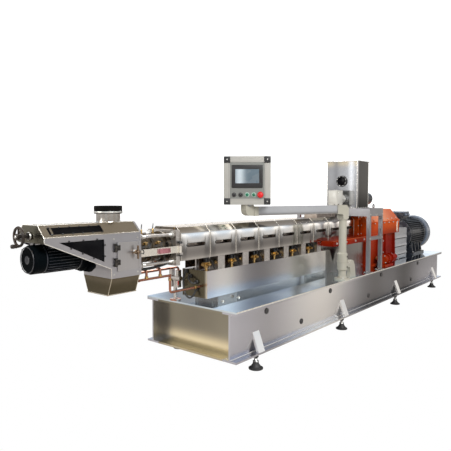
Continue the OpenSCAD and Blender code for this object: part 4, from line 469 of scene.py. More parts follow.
FINISHES: dict[str, object] = {
    # Side beam: its bands are painted reflections, dark, bright and dark again along its length.
    "side beam": Sheet("ground side beam", (0.6, 0.61, 0.68), (0.48, 0.49, 0.55), low=0.22, high=0.28,
        marks=0.25, depth=0.015,
        bands=(PaintedLightBand(ALONG, -1.58, 0.25, (0.38, 0.38, 0.41), 0.7),
        PaintedLightBand(ALONG, -0.88, 0.46, (1.0, 1.0, 0.99), 1.0), PaintedLightBand(ALONG, 0.1, 0.5, (0.17, 0.17, 0.175), 0.95),
        PaintedLightBand(ALONG, 0.85, 0.5, (0.07, 0.07, 0.075), 0.95))),
    # End beam: a bright band of painted highlight low down and a band of painted shade across it.
    "end beam": Sheet("ground end beam", (0.33, 0.31, 0.245), (0.26, 0.24, 0.195), low=0.2, high=0.26,
        grain=Grain.ACROSS, marks=0.2, depth=0.012,
        bands=(PaintedLightBand(UPWARDS, 0.15, 0.045, (1.0, 0.88, 0.6), 0.95),
        PaintedLightBand(ACROSS, 0.3, 0.07, (0.15, 0.135, 0.1), 0.8))),
    # Deck: the blue-white tone and the darker blue patches are painted reflections.
    "deck": Sheet("mirror deck", (0.88, 0.98, 1.0), (0.46, 0.57, 0.7), low=0.05, high=0.1, marks=0.15,
        patches=3.4, depth=0.015),
    "brace": Sheet("pale brace", (0.93, 0.91, 0.88), (0.8, 0.78, 0.75), low=0.3, high=0.42,
        grain=Grain.UPRIGHT),
    "pad": Polymer("black rubber foot", (0.018, 0.018, 0.02), (0.03, 0.03, 0.03), gloss=0.45),
    # Support beam: the bands are painted highlights and a dark painted reflection along its length.
    "beam": Sheet("ground support beam", (0.6, 0.6, 0.66), (0.48, 0.48, 0.54), low=0.2, high=0.26,
        marks=0.25, depth=0.015,
        bands=(PaintedLightBand(ALONG, -1.72, 0.18, (1.0, 1.0, 1.0), 1.0),
        PaintedLightBand(ALONG, -1.34, 0.32, (0.2, 0.2, 0.215), 0.9),
        PaintedLightBand(ALONG, -0.45, 0.55, (1.0, 0.99, 0.94), 1.0))),
    # Support beam's end face: a dark tone of painted shade, with a thin painted highlight across it.
    "beam end": Sheet("beam end with painted shade", (0.15, 0.132, 0.088), (0.1, 0.088, 0.06), grain=Grain.UPRIGHT,
        marks=0.2, depth=0.02, bands=(PaintedLightBand(ACROSS, -0.1, 0.012, (0.8, 0.76, 0.66), 0.8),)),
    "stand": Sheet("dark stand plate", (0.52, 0.5, 0.47), (0.34, 0.33, 0.32), grain=Grain.UPRIGHT,
        marks=0.12, depth=0.006),
    "tube": Sheet("stand tube", (0.42, 0.41, 0.43), (0.3, 0.3, 0.32), low=0.3, high=0.36,
        grain=Grain.UPRIGHT, marks=0.08, depth=0.004),
    # Shade: a dark plate colour that paints the shade in the gaps between the saddles.
    "shade": Metal("painted shade plate", (0.11, 0.075, 0.05), (0.03, 0.022, 0.018), stains=45.0, share=0.8),
    "machined": Metal("machined steel", (0.62, 0.6, 0.58), (0.32, 0.28, 0.25), stains=24.0),
    "barrel": Metal("warm barrel steel", (0.46, 0.4, 0.35), (0.2, 0.15, 0.12), stains=16.0),
    "die": Metal("oiled die head", (0.09, 0.085, 0.08), (0.22, 0.16, 0.09), stains=40.0, share=0.5),
    # Covers: the bands are painted reflections: dark near the top, a bright line below the shoulder, dark on
    # the face and a pale line near the lower edge.
    "cover": Sheet("satin cover", (0.56, 0.545, 0.525), (0.46, 0.445, 0.43), low=0.09, high=0.16, marks=0.2,
        depth=0.03,
        bands=(PaintedLightBand(UPWARDS, 0.872, 0.022, (0.34, 0.3, 0.25), 0.85),
        PaintedLightBand(UPWARDS, 0.834, 0.013, (1.0, 0.98, 0.95), 0.85),
        PaintedLightBand(UPWARDS, 0.733, 0.036, (0.26, 0.25, 0.245), 0.85),
        PaintedLightBand(UPWARDS, 0.695, 0.008, (0.6, 0.58, 0.56), 0.7))),
    # The seam finish is near-white: it paints the highlight caught by bends, folded edges, lips and welds;
    # the clamp bar's body wears it too.
    "seam": Sheet("bright highlight sheet", (1.0, 0.96, 0.88), (0.93, 0.9, 0.83), low=0.22, high=0.32,
        grain=Grain.UPRIGHT),
    "hood": Sheet("satin hood", (0.49, 0.49, 0.52), (0.42, 0.42, 0.45), low=0.26, high=0.33, marks=0.2,
        depth=0.015),
    # Hood roof: the upward faces of the hood's sheet, in a warmer tone that paints the reflection they show.
    "hood roof": Sheet("hood roof with painted reflection", (0.4, 0.36, 0.29), (0.32, 0.285, 0.23), low=0.16, high=0.22,
        marks=0.2, depth=0.015),
    # Hood nose: the hood's end face, darker with painted shade.
    "hood nose": Sheet("hood nose with painted shade", (0.25, 0.24, 0.185), (0.17, 0.16, 0.125), low=0.2, high=0.3,
        grain=Grain.UPRIGHT, depth=0.05),
    "door": Sheet("hatch sheet", (0.52, 0.51, 0.52), (0.45, 0.445, 0.45), low=0.28, high=0.4,
        grain=Grain.UPRIGHT, depth=0.05),
    # Chute: the band paints a paler highlight near its top.
    "chute": Sheet("glossy chute", (0.14, 0.12, 0.078), (0.09, 0.078, 0.05), low=0.14, high=0.24,
        grain=Grain.UPRIGHT, depth=0.04, bands=(PaintedLightBand(UPWARDS, 0.64, 0.02, (0.22, 0.19, 0.14), 0.6),)),
    "chrome": Sheet("polished collar", (0.84, 0.82, 0.79), (0.6, 0.57, 0.52), low=0.06, high=0.14,
        marks=0.2, grain=Grain.ACROSS),
    "rubber": Polymer("rubber band", (0.003, 0.003, 0.003), (0.008, 0.007, 0.006), gloss=0.4, mirror=0.05),
    "brass": Metal("cast brass", (0.66, 0.45, 0.18), (0.2, 0.12, 0.05), stains=60.0, share=0.7),
    "copper": Metal("dull copper pipe", (0.52, 0.23, 0.15), (0.24, 0.1, 0.07), stains=50.0, share=0.5),
    "cable": Polymer("black cable", (0.012, 0.012, 0.013), (0.03, 0.03, 0.03), gloss=0.3),
    # Gear red: the bands paint highlights in brighter red, one about 0.8 m up and one about 0.32 m along.
    "gear red": Paint("dark red casting", (0.27, 0.008, 0.001), (0.1, 0.003, 0.001), gloss=0.4, coat=0.0,
        mirror=0.05, wear=(0.1, 0.01, 0.005),
        bands=(PaintedLightBand(UPWARDS, 0.80, 0.09, (0.56, 0.08, 0.006), 0.9),
        PaintedLightBand(ALONG, 0.32, 0.12, (0.5, 0.05, 0.005), 0.5))),
    # Gear orange: the band paints a paler highlight across the middle of the casting.
    "gear orange": Paint("orange casting", (0.6, 0.11, 0.018), (0.46, 0.07, 0.01), gloss=0.28, coat=0.05,
        mirror=0.2, wear=(0.42, 0.09, 0.03), bands=(PaintedLightBand(ALONG, 0.55, 0.22, (0.8, 0.36, 0.2), 0.6),)),
    "guard": Paint("pale guard", (0.34, 0.34, 0.35), (0.24, 0.24, 0.25), gloss=0.4),
    "motor": Paint("blue-black motor", (0.02, 0.023, 0.031), (0.01, 0.012, 0.017), gloss=0.3, coat=0.15,
        mirror=0.3),
    "cutter motor": Paint("black-green motor", (0.001, 0.0025, 0.0035), (0.002, 0.003, 0.004), gloss=0.34,
        coat=0.0, mirror=0.02, wear=(0.008, 0.01, 0.012), peel=0.02),
    "cowl": Paint("grey-blue cowl", (0.13, 0.16, 0.21), (0.08, 0.1, 0.14), gloss=0.32),
    # Hopper: the bands are painted reflections: a brown shade near the top, a bright strip near the front
    # and a darker strip further back.
    "hopper": Sheet("mirror hopper", (0.42, 0.43, 0.45), (0.26, 0.26, 0.27), low=0.08, high=0.15,
        grain=Grain.UPRIGHT, marks=0.2, patches=4.0, depth=0.03,
        bands=(PaintedLightBand(UPWARDS, 1.36, 0.035, (0.55, 0.47, 0.33), 0.85),
        PaintedLightBand(ACROSS, -0.165, 0.025, (0.8, 0.82, 0.86), 0.8),
        PaintedLightBand(ACROSS, -0.02, 0.03, (0.2, 0.2, 0.21), 0.6))),
    # Hopper side: a near-black tone of painted shade, with a darker slanted band and a bright painted
    # highlight near its end.
    "hopper side": Sheet("hopper side with painted shade", (0.022, 0.021, 0.02), (0.008, 0.008, 0.007), low=0.1,
        high=0.18, grain=Grain.UPRIGHT, patches=7.0, depth=0.03,
        bands=(PaintedLightBand((0.86, 0.0, 0.51), 0.72, 0.035, (0.012, 0.012, 0.012), 0.9),
        PaintedLightBand(ALONG, -0.055, 0.014, (0.5, 0.51, 0.54), 0.8))),
    "outlet": Paint("grey-white outlet", (0.56, 0.55, 0.51), (0.44, 0.43, 0.39), gloss=0.38, cast=35.0,
        peel=0.3),
    # Arm: the band paints a dark line of shade along the arm's lower edge.
    "arm": Paint("light grey arm", (0.34, 0.35, 0.37), (0.29, 0.3, 0.32), gloss=0.4, coat=0.1,
        bands=(PaintedLightBand(UPWARDS, 0.93, 0.012, (0.12, 0.115, 0.115), 0.85),)),
    "post": Paint("beige casting", (0.4, 0.385, 0.325), (0.31, 0.3, 0.25), gloss=0.4, coat=0.1, cast=40.0,
        peel=0.25),
    "panel": Sheet("anodised frame", (0.5, 0.49, 0.455), (0.43, 0.42, 0.39), low=0.36, high=0.48,
        grain=Grain.UPRIGHT, marks=0.2, depth=0.04),
    "front plate": Sheet("brushed front plate", (0.31, 0.315, 0.295), (0.26, 0.265, 0.25), low=0.34,
        high=0.45, grain=Grain.ALONG, depth=0.05),
    "cap black": Polymer("black moulding", (0.012, 0.012, 0.013), (0.025, 0.025, 0.026), gloss=0.28),
    "green": Polymer("green button", (0.02, 0.16, 0.09), (0.01, 0.09, 0.05), gloss=0.15),
    "ring": Polymer("pale button ring", (0.38, 0.6, 0.5), (0.3, 0.5, 0.42), gloss=0.3),
    "red": Polymer("red stop head", (0.62, 0.01, 0.012), (0.42, 0.006, 0.008), gloss=0.18),
    "grip": Polymer("dull red grip", (0.36, 0.15, 0.17), (0.2, 0.07, 0.08), gloss=0.5),
    "wheel": Polymer("black bakelite", (0.012, 0.011, 0.01), (0.05, 0.035, 0.026), gloss=0.22, mirror=0.25),
    # Hopper edge: a near-white tone that paints the highlight on the rolled rim and corner welds.
    "hopper edge": Sheet("hopper edge highlight", (0.97, 0.95, 0.9), (0.85, 0.83, 0.79), low=0.14, high=0.24,
        grain=Grain.NONE),
    "groove": Polymer("profile groove", (0.3, 0.29, 0.27), (0.22, 0.21, 0.2), gloss=0.4),
    "bezel": Polymer("black bezel", (0.01, 0.01, 0.011), (0.02, 0.02, 0.021), gloss=0.3),
    # Display: the slanted pale band paints a soft glare across the glass.
    "display": Paint("display glass", (0.075, 0.115, 0.145), (0.045, 0.07, 0.1), gloss=0.05, coat=0.6,
        peel=0.0, cast=4.0, bands=(PaintedLightBand((0.588, -0.809, 0.0), -0.855, 0.03, (0.5, 0.58, 0.64), 0.8),)),
    "smoked pane": Polymer("smoked pane", (0.002, 0.002, 0.003), (0.005, 0.005, 0.006), gloss=0.1,
        mirror=0.06),
    "latch": Metal("bronzed latch", (0.3, 0.22, 0.15), (0.14, 0.1, 0.07), stains=60.0),
    # Chute edge: a pale tone that paints the highlight on the chute's rolled rim and welds.
    "chute edge highlight": Sheet("chute edge highlight", (0.78, 0.72, 0.6), (0.6, 0.54, 0.43), low=0.18, high=0.28,
        grain=Grain.NONE),
    "gauge oil": Polymer("gauge glass", (0.5, 0.32, 0.1), (0.62, 0.5, 0.3), gloss=0.08),
    "gauge white": Paint("white gauge back", (0.86, 0.85, 0.82), (0.78, 0.76, 0.72), gloss=0.3),
    "bolt": Metal("zinc bolt", (0.72, 0.72, 0.7), (0.36, 0.35, 0.33), stains=120.0, share=0.45),
    "dark bolt": Metal("black bolt", (0.05, 0.05, 0.05), (0.14, 0.12, 0.1), stains=120.0, share=0.4),
}


class Palette:
    """Makes each finish once and hands it out by name."""

    def __init__(self) -> None:
        """Starts with the shared groups and no material."""
        self.groups = Groups()
        self.made: dict[str, bpy.types.Material] = {}

    def get(self, name: str) -> bpy.types.Material:
        """Returns the finish of that name, built on first use."""
        if name not in self.made:
            self.made[name] = FINISHES[name].make(self.groups)
        return self.made[name]

    def dress(self, node: str, name: str) -> None:
        """Gives a CAD node a finish."""
        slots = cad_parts[node].data.materials
        slots.clear()
        slots.append(self.get(name))

    def dress_by(self, node: str, rules: Sequence[tuple[str, Callable[[Vector, Vector], bool]]],
            other: str) -> None:
        """Gives a CAD node several finishes, chosen face by face.

        Args:
            node: the node's name.
            rules: finish names with tests of a face's centre and normal, first match wins.
            other: the finish of all other faces.
        """
        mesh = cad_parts[node].data
        mesh.materials.clear()
        for name in (other, *(rule[0] for rule in rules)):
            mesh.materials.append(self.get(name))
        for face in mesh.polygons:
            hits = (k + 1 for k, rule in enumerate(rules) if rule[1](face.center, face.normal))
            face.material_index = next(hits, 0)


# Modelling


class Shop:
    """The workshop: makes, shapes and joins pieces with Blender's operators."""

    @staticmethod
    def clear() -> None:
        """Leaves edit mode and deselects everything."""
        if bpy.context.object and bpy.context.object.mode != "OBJECT":
            bpy.ops.object.mode_set(mode="OBJECT")
        bpy.ops.object.select_all(action="DESELECT")

    @staticmethod
    def only(piece: Piece) -> None:
        """Selects one piece and makes it active."""
        Shop.clear()
        piece.select_set(True)
        bpy.context.view_layer.objects.active = piece

    @staticmethod
    def settle(piece: Piece) -> None:
        """Applies a piece's place, turn and scale to its mesh."""
        Shop.only(piece)
        bpy.ops.object.transform_apply(location=True, rotation=True, scale=True)

    @staticmethod
    def modify(piece: Piece, kind: str, **values: object) -> None:
        """Adds a modifier, sets it and applies it.

        Args:
            piece: the piece.
            kind: the modifier's type.
            values: its settings by name.
        """
        Shop.only(piece)
        modifier = piece.modifiers.new(kind.lower(), kind)
        for key, value in values.items():
            setattr(modifier, key, value)
        bpy.ops.object.modifier_apply(modifier=modifier.name)

    @staticmethod
    def block(low: Point, high: Point, round_: float = 0.0, steps: int = 2) -> Piece:
        """A block between two corners, with rounded edges.

        Args:
            low: its lowest corner.
            high: its highest corner.
            round_: the edges' radius.
            steps: faces across each rounded edge.

        Returns:
            The piece, at the origin.
        """
        Shop.clear()
        middle = [(a + b) / 2 for a, b in zip(low, high)]
        bpy.ops.mesh.primitive_cube_add(size=1, location=middle)
        piece = bpy.context.object
        piece.scale = [b - a for a, b in zip(low, high)]
        Shop.settle(piece)
        if round_:
            Shop.modify(piece, "BEVEL", width=round_, segments=steps, limit_method="ANGLE")
        return piece

    @staticmethod
    def turned(profile: Sequence[Flat], at: Point, axis: Axis = Axis.Z, sides: int = 32) -> Piece:
        """A turned piece: a disc drawn out ring by ring.

        Args:
            profile: radius and height of each ring, from the first face to the last.
            at: where its axis starts.
            axis: where its axis points.
            sides: faces round it.

        Returns:
            The piece, at the origin.
        """
        Shop.clear()
        radius, height = profile[0]
        bpy.ops.mesh.primitive_circle_add(vertices=sides, radius=radius, fill_type="NGON", location=ORIGIN)
        piece = bpy.context.object
        bpy.ops.object.mode_set(mode="EDIT")
        bpy.ops.mesh.select_all(action="SELECT")
        bpy.ops.transform.translate(value=(0, 0, height))
        for r, h in profile[1:]:
            bpy.ops.mesh.extrude_region_move(TRANSFORM_OT_translate={"value": (0, 0, h - height)})
            bpy.ops.transform.resize(value=(r / radius, r / radius, 1))
            radius, height = r, h
        bpy.ops.mesh.select_all(action="SELECT")
        bpy.ops.mesh.normals_make_consistent(inside=False)
        bpy.ops.object.mode_set(mode="OBJECT")
        quarter = math.pi / 2
        piece.rotation_euler = {Axis.X: (0, quarter, 0), Axis.Y: (-quarter, 0, 0), Axis.Z: ORIGIN}[axis]
        piece.location = at
        Shop.settle(piece)
        return piece

    @staticmethod
    def bored(profile: Sequence[Flat], at: Point, axis: Axis, sides: int, radius: float,
            bore_sides: int = 0) -> Piece:
        """A turned piece with a round bore through it.

        Args:
            profile: radius and height of each ring.
            at: where its axis starts.
            axis: where its axis points.
            sides: faces round it.
            radius: the bore's radius.
            bore_sides: faces round the bore, as many as round the piece if 0.

        Returns:
            The piece, at the origin.
        """
        piece = Shop.turned(profile, at, axis, sides)
        Shop.cut(piece, Shop.turned([(radius, -0.02), (radius, 0.07)], at, axis, bore_sides or sides))
        return piece

    @staticmethod
    def fins(low: Point, high: Point, count: int, start: float, centre: Flat) -> list[Piece]:
        """Thin cooling fins round an axis along X.

        Args:
            low: the lowest corner of the fin at the top, from the axis.
            high: its highest corner.
            count: how many fins there are.
            start: the first fin's angle, in degrees.
            centre: the axis, in Y and Z.

        Returns:
            The fins.
        """
        fin = Shop.block(low, high, 0.0006, 1)
        made = [Shop.copy(fin, (0, *centre), (a, 0, 0)) for a in turns(count, math.radians(start))]
        Shop.scrap(fin)
        return made

    @staticmethod
    def pipe(route: Sequence[Point], radius: float, sides: int = 12, smooth: bool = True) -> Piece:
        """A tube along a route, made from a curve and turned into a mesh.

        Args:
            route: the points it passes through.
            radius: its radius.
            sides: faces round it.
            smooth: True for a flowing curve, False for straight runs.

        Returns:
            The piece, at the origin.
        """
        Shop.clear()
        bpy.ops.curve.primitive_bezier_curve_add(location=ORIGIN)
        curve = bpy.context.object.data
        curve.splines.clear()
        spline = curve.splines.new("BEZIER")
        spline.bezier_points.add(len(route) - 1)
        for point, place in zip(spline.bezier_points, route):
            point.co = place
            point.handle_left_type = point.handle_right_type = "AUTO" if smooth else "VECTOR"
        curve.bevel_depth = radius
        curve.bevel_resolution = max(1, sides // 4 - 1)
        curve.resolution_u = 6 if smooth else 1
        curve.use_fill_caps = True
        bpy.ops.object.convert(target="MESH")
        return bpy.context.object

    @staticmethod
    def join(pieces: Sequence[Piece]) -> Piece:
        """Joins pieces into the first of them, and returns it."""
        Shop.clear()
        for piece in pieces:
            piece.select_set(True)
        bpy.context.view_layer.objects.active = pieces[0]
        if len(pieces) > 1:
            bpy.ops.object.join()
        return pieces[0]

    @staticmethod
    def copy(piece: Piece, place: Point = ORIGIN, turn: Point = ORIGIN) -> Piece:
        """Copies a piece, mesh and all.

        Args:
            piece: the piece that is copied.
            place: how far the copy stands from it.
            turn: the copy's turn about the origin, in radians.

        Returns:
            The copy.
        """
        Shop.only(piece)
        bpy.ops.object.duplicate(linked=False)
        copy = bpy.context.object
        copy.location = place
        copy.rotation_euler = turn
        Shop.settle(copy)
        return copy

    @staticmethod
    def each(piece: Piece, places: Iterable[Point]) -> list[Piece]:
        """Sets copies of a piece made at the origin out at several places, and scraps the piece."""
        made = [Shop.copy(piece, place) for place in places]
        Shop.scrap(piece)
        return made

    @staticmethod
    def scrap(*pieces: Piece) -> None:
        """Takes pieces away."""
        for piece in pieces:
            bpy.data.objects.remove(piece)

    @staticmethod
    def cut(piece: Piece, cutter: Piece) -> None:
        """Cuts one piece out of another and throws the cutter away."""
        Shop.modify(piece, "BOOLEAN", object=cutter, operation="DIFFERENCE", solver="EXACT")
        Shop.scrap(cutter)

    @staticmethod
    def smooth(piece: Piece, degrees: float = 35.0) -> None:
        """Shades a piece smooth, up to an angle."""
        Shop.only(piece)
        bpy.ops.object.shade_smooth_by_angle(angle=math.radians(degrees))

    @staticmethod
    def outline(points: Sequence[Flat], low: float, high: float, axis: Axis, round_: float = 0.0,
                stations: Sequence[float] = ()) -> Piece:
        """A plate of a given outline, made thick along one axis.

        Args:
            points: the outline, in the two other directions in X, Y, Z order.
            low: where it starts along the axis.
            high: where it ends.
            axis: the axis it is thick along.
            round_: the edges' radius.
            stations: places along the axis where its sides get a ring of edges.

        Returns:
            The piece, at the origin.
        """
        Shop.clear()
        bpy.ops.curve.primitive_bezier_curve_add(location=ORIGIN)
        curve = bpy.context.object.data
        curve.dimensions = "2D"
        curve.fill_mode = "BOTH"
        curve.splines.clear()
        spline = curve.splines.new("POLY")
        spline.points.add(len(points) - 1)
        for point, place in zip(spline.points, points):
            point.co = (*place, 0, 1)
        spline.use_cyclic_u = True
        bpy.ops.object.convert(target="MESH")
        piece = bpy.context.object
        bpy.ops.object.mode_set(mode="EDIT")
        bpy.ops.mesh.select_all(action="SELECT")
        bpy.ops.mesh.dissolve_limited(angle_limit=0.01)
        rings = list(stations) or [low, high]
        for below, above in zip(rings, rings[1:]):
            bpy.ops.mesh.extrude_region_move(TRANSFORM_OT_translate={"value": (0, 0, above - below)})
        bpy.ops.mesh.select_all(action="SELECT")
        bpy.ops.mesh.normals_make_consistent(inside=False)
        bpy.ops.object.mode_set(mode="OBJECT")
        if axis is Axis.X:
            piece.matrix_world = Matrix(((0, 0, 1, low), (1, 0, 0, 0), (0, 1, 0, 0), (0, 0, 0, 1)))
        elif axis is Axis.Y:
            piece.matrix_world = Matrix(((1, 0, 0, 0), (0, 0, -1, high), (0, 1, 0, 0), (0, 0, 0, 1)))
        else:
            piece.location = (0, 0, low)
        Shop.settle(piece)
        if round_:
            Shop.modify(piece, "BEVEL", width=round_, segments=2, limit_method="ANGLE")
        return piece


@dataclass
class Assembly:
    """The base of all sub-assemblies: finishes its pieces and books them on their bodies."""

    palette: Palette

    def book(self, name: str, pieces: Sequence[Piece], finish: str, body: str = "frame",
            smooth: float = 35.0, stands_for: Sequence[str] = ()) -> None:
        """Joins pieces into one, dresses it and lets it ride on a body.

        Args:
            name: the joined piece's name.
            pieces: the finished pieces.
            finish: the finish's name.
            body: the CAD body that it moves with.
            smooth: the angle up to which it is shaded smooth.
            stands_for: CAD nodes that it replaces.
        """
        piece = Shop.join(pieces)
        piece.name = name
        piece.data.materials.clear()
        piece.data.materials.append(self.palette.get(finish))
        Shop.smooth(piece, smooth)
        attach(piece, body)
        if stands_for:
            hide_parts(*stands_for)
        LOG.info("%s rides on %s", piece.name, body)

    def bolts(self, name: str, places: Iterable[Point], axis: Axis, size: float, body: str = "frame",
              finish: str = "bolt") -> None:
        """Sets hexagon bolts with washers at several places.

        Args:
            name: the joined piece's name.
            places: each bolt's seat.
            axis: Z for heads that point up, Y for the front, X for the cutter's end.
            size: the head's radius.
            body: the CAD body that they move with.
            finish: their finish.
        """
        washer = [(size * 1.35, 0), (size * 1.4, size * 0.1), (size * 1.3, size * 0.22)]
        head = [(size * 0.96, size * 0.2), (size, size * 0.3), (size, size * 0.8),
            (size * 0.86, size * 0.95)]
        bolt = Shop.join([Shop.turned(washer, ORIGIN, Axis.Z, 20), Shop.turned(head, ORIGIN, Axis.Z, 6)])
        quarter = math.pi / 2
        bolt.rotation_euler = {Axis.X: (0, -quarter, 0), Axis.Y: (quarter, 0, 0), Axis.Z: ORIGIN}[axis]
        Shop.settle(bolt)
        self.book(name, Shop.each(bolt, places), finish, body, 30)


# Studio


@dataclass
class Studio:
    """Camera, floor, backdrop light and soft boxes."""

    eye: Point = (-4.0707, -2.0359, 1.05)
    yaw: float = 39.63
    pitch: float = 3.36
    lens: float = 38.45
    floor: float = 14.0
    panel: Colour = (0.74, 0.84, 0.95)
    room: tuple[tuple[float, Colour], ...] = ((0.0, (0.1, 0.09, 0.08)), (0.4, (0.17, 0.155, 0.14)),
        (0.495, (0.3, 0.28, 0.26)), (0.506, (1.0, 0.94, 0.86)), (0.545, (1.0, 0.95, 0.9)),
        (0.575, (0.26, 0.255, 0.26)), (0.72, (0.36, 0.35, 0.35)), (0.88, (0.43, 0.39, 0.34)),
        (1.0, (0.5, 0.48, 0.46)))

    def camera(self) -> None:
        """Places the camera at the photograph's point of view."""
        Shop.clear()
        turn = (math.radians(90 - self.pitch), 0.0, math.radians(self.yaw - 90))
        bpy.ops.object.camera_add(location=self.eye, rotation=turn)
        camera = bpy.context.object
        camera.name = "camera"
        camera.data.lens = self.lens
        camera.data.sensor_width = 36.0
        camera.data.clip_end = 100.0
        bpy.context.scene.camera = camera

    def light(self, name: str, at: Point, target: Point, size: Flat, power: float, colour: Colour) -> None:
        """Hangs one soft box.

        Args:
            name: the light's name.
            at: where it hangs.
            target: what it points at.
            size: its width and height.
            power: its power in watts.
            colour: its colour.
        """
        Shop.clear()
        aim = (Vector(target) - Vector(at)).to_track_quat("-Z", "Y").to_euler()
        bpy.ops.object.light_add(type="AREA", location=at, rotation=aim)
        lamp = bpy.context.object
        lamp.name = name
        lamp.data.shape = "RECTANGLE"
        lamp.data.size, lamp.data.size_y = size
        lamp.data.energy = power
        lamp.data.color = colour

    def world(self) -> None:
        """Fills the room with light: a bright ceiling, a dark floor and tall pale panels round it."""
        world = bpy.data.worlds.new("studio room")
        bpy.context.scene.world = world
        world.use_nodes = True
        tree = world.node_tree
        back = tree.nodes["Background"]
        coordinates = tree.nodes.new("ShaderNodeTexCoord")
        split = tree.nodes.new("ShaderNodeSeparateXYZ")
        tree.links.new(coordinates.outputs["Generated"], split.inputs[0])
        ramp = tree.nodes.new("ShaderNodeValToRGB")
        while len(ramp.color_ramp.elements) < len(self.room):
            ramp.color_ramp.elements.new(0.5)
        for element, (place, colour) in zip(ramp.color_ramp.elements, self.room):
            element.position = place
            element.color = (*colour, 1)
        half = _maths(tree, "ADD", _maths(tree, "MULTIPLY", split.outputs["Z"], 0.5), 0.5)
        tree.links.new(half, ramp.inputs[0])
        round_ = _maths(tree, "ARCTAN2", split.outputs["Y"], split.outputs["X"])
        wave = _maths(tree, "SINE", _maths(tree, "ADD", _maths(tree, "MULTIPLY", round_, 7.0), 0.6))
        panel = _maths(tree, "MULTIPLY", _maths(tree, "ADD", wave, 0.1), 2.2, clamp=True)
        away = _maths(tree, "ABSOLUTE", _maths(tree, "SUBTRACT", split.outputs["Z"], 0.25))
        level = _maths(tree, "SUBTRACT", 1.0, _maths(tree, "MULTIPLY", away, 3.2), clamp=True)
        lit = _mix(tree, _maths(tree, "MULTIPLY", panel, level), ramp.outputs[0], self.panel)
        path = tree.nodes.new("ShaderNodeLightPath")
        seen = _mix(tree, path.outputs["Is Camera Ray"], lit, (1.0, 1.0, 1.0))
        tree.links.new(seen, back.inputs["Color"])
        back.inputs["Strength"].default_value = 1.3

    def ground(self) -> None:
        """Lays the floor: paper white to the camera, darker in the steel's reflections."""
        Shop.clear()
        bpy.ops.mesh.primitive_plane_add(size=self.floor * 2, location=(0, 0, -0.0005))
        floor = bpy.context.object
        floor.name = "studio_floor"
        material = bpy.data.materials.new("paper floor")
        material.use_nodes = True
        tree = material.node_tree
        skin = tree.nodes["Principled BSDF"]
        noise = tree.nodes.new("ShaderNodeTexNoise")
        noise.inputs["Scale"].default_value = 0.8
        tone = _mix(tree, noise.outputs[0], (0.43, 0.4, 0.37), (0.56, 0.53, 0.5))
        tree.links.new(tone, skin.inputs["Base Color"])
        skin.inputs["Roughness"].default_value = 0.7
        paper = tree.nodes.new("ShaderNodeEmission")
        path = tree.nodes.new("ShaderNodeLightPath")
        both = tree.nodes.new("ShaderNodeMixShader")
        tree.links.new(path.outputs["Is Camera Ray"], both.inputs[0])
        tree.links.new(skin.outputs[0], both.inputs[1])
        tree.links.new(paper.outputs[0], both.inputs[2])
        tree.links.new(both.outputs[0], tree.nodes["Material Output"].inputs["Surface"])
        floor.data.materials.append(material)

    def build(self) -> None:
        """Sets the whole studio up."""
        bpy.context.scene.view_settings.view_transform = "Standard"
        self.camera()
        self.world()
        self.ground()
        self.light("key box", (-3.5, -4.5, 4.2), (-0.6, 0, 0.6), (3.5, 2.0), 330.0, (1.0, 0.99, 0.97))
        self.light("top box", (0.0, 2.0, 4.2), (0, 0, 0.8), (5.0, 1.6), 170.0, (1.0, 1.0, 1.0))
        self.light("end box", (-6.5, 1.5, 2.4), (-2.0, 0, 0.6), (1.6, 2.2), 90.0, (1.0, 0.97, 0.92))


# Skid


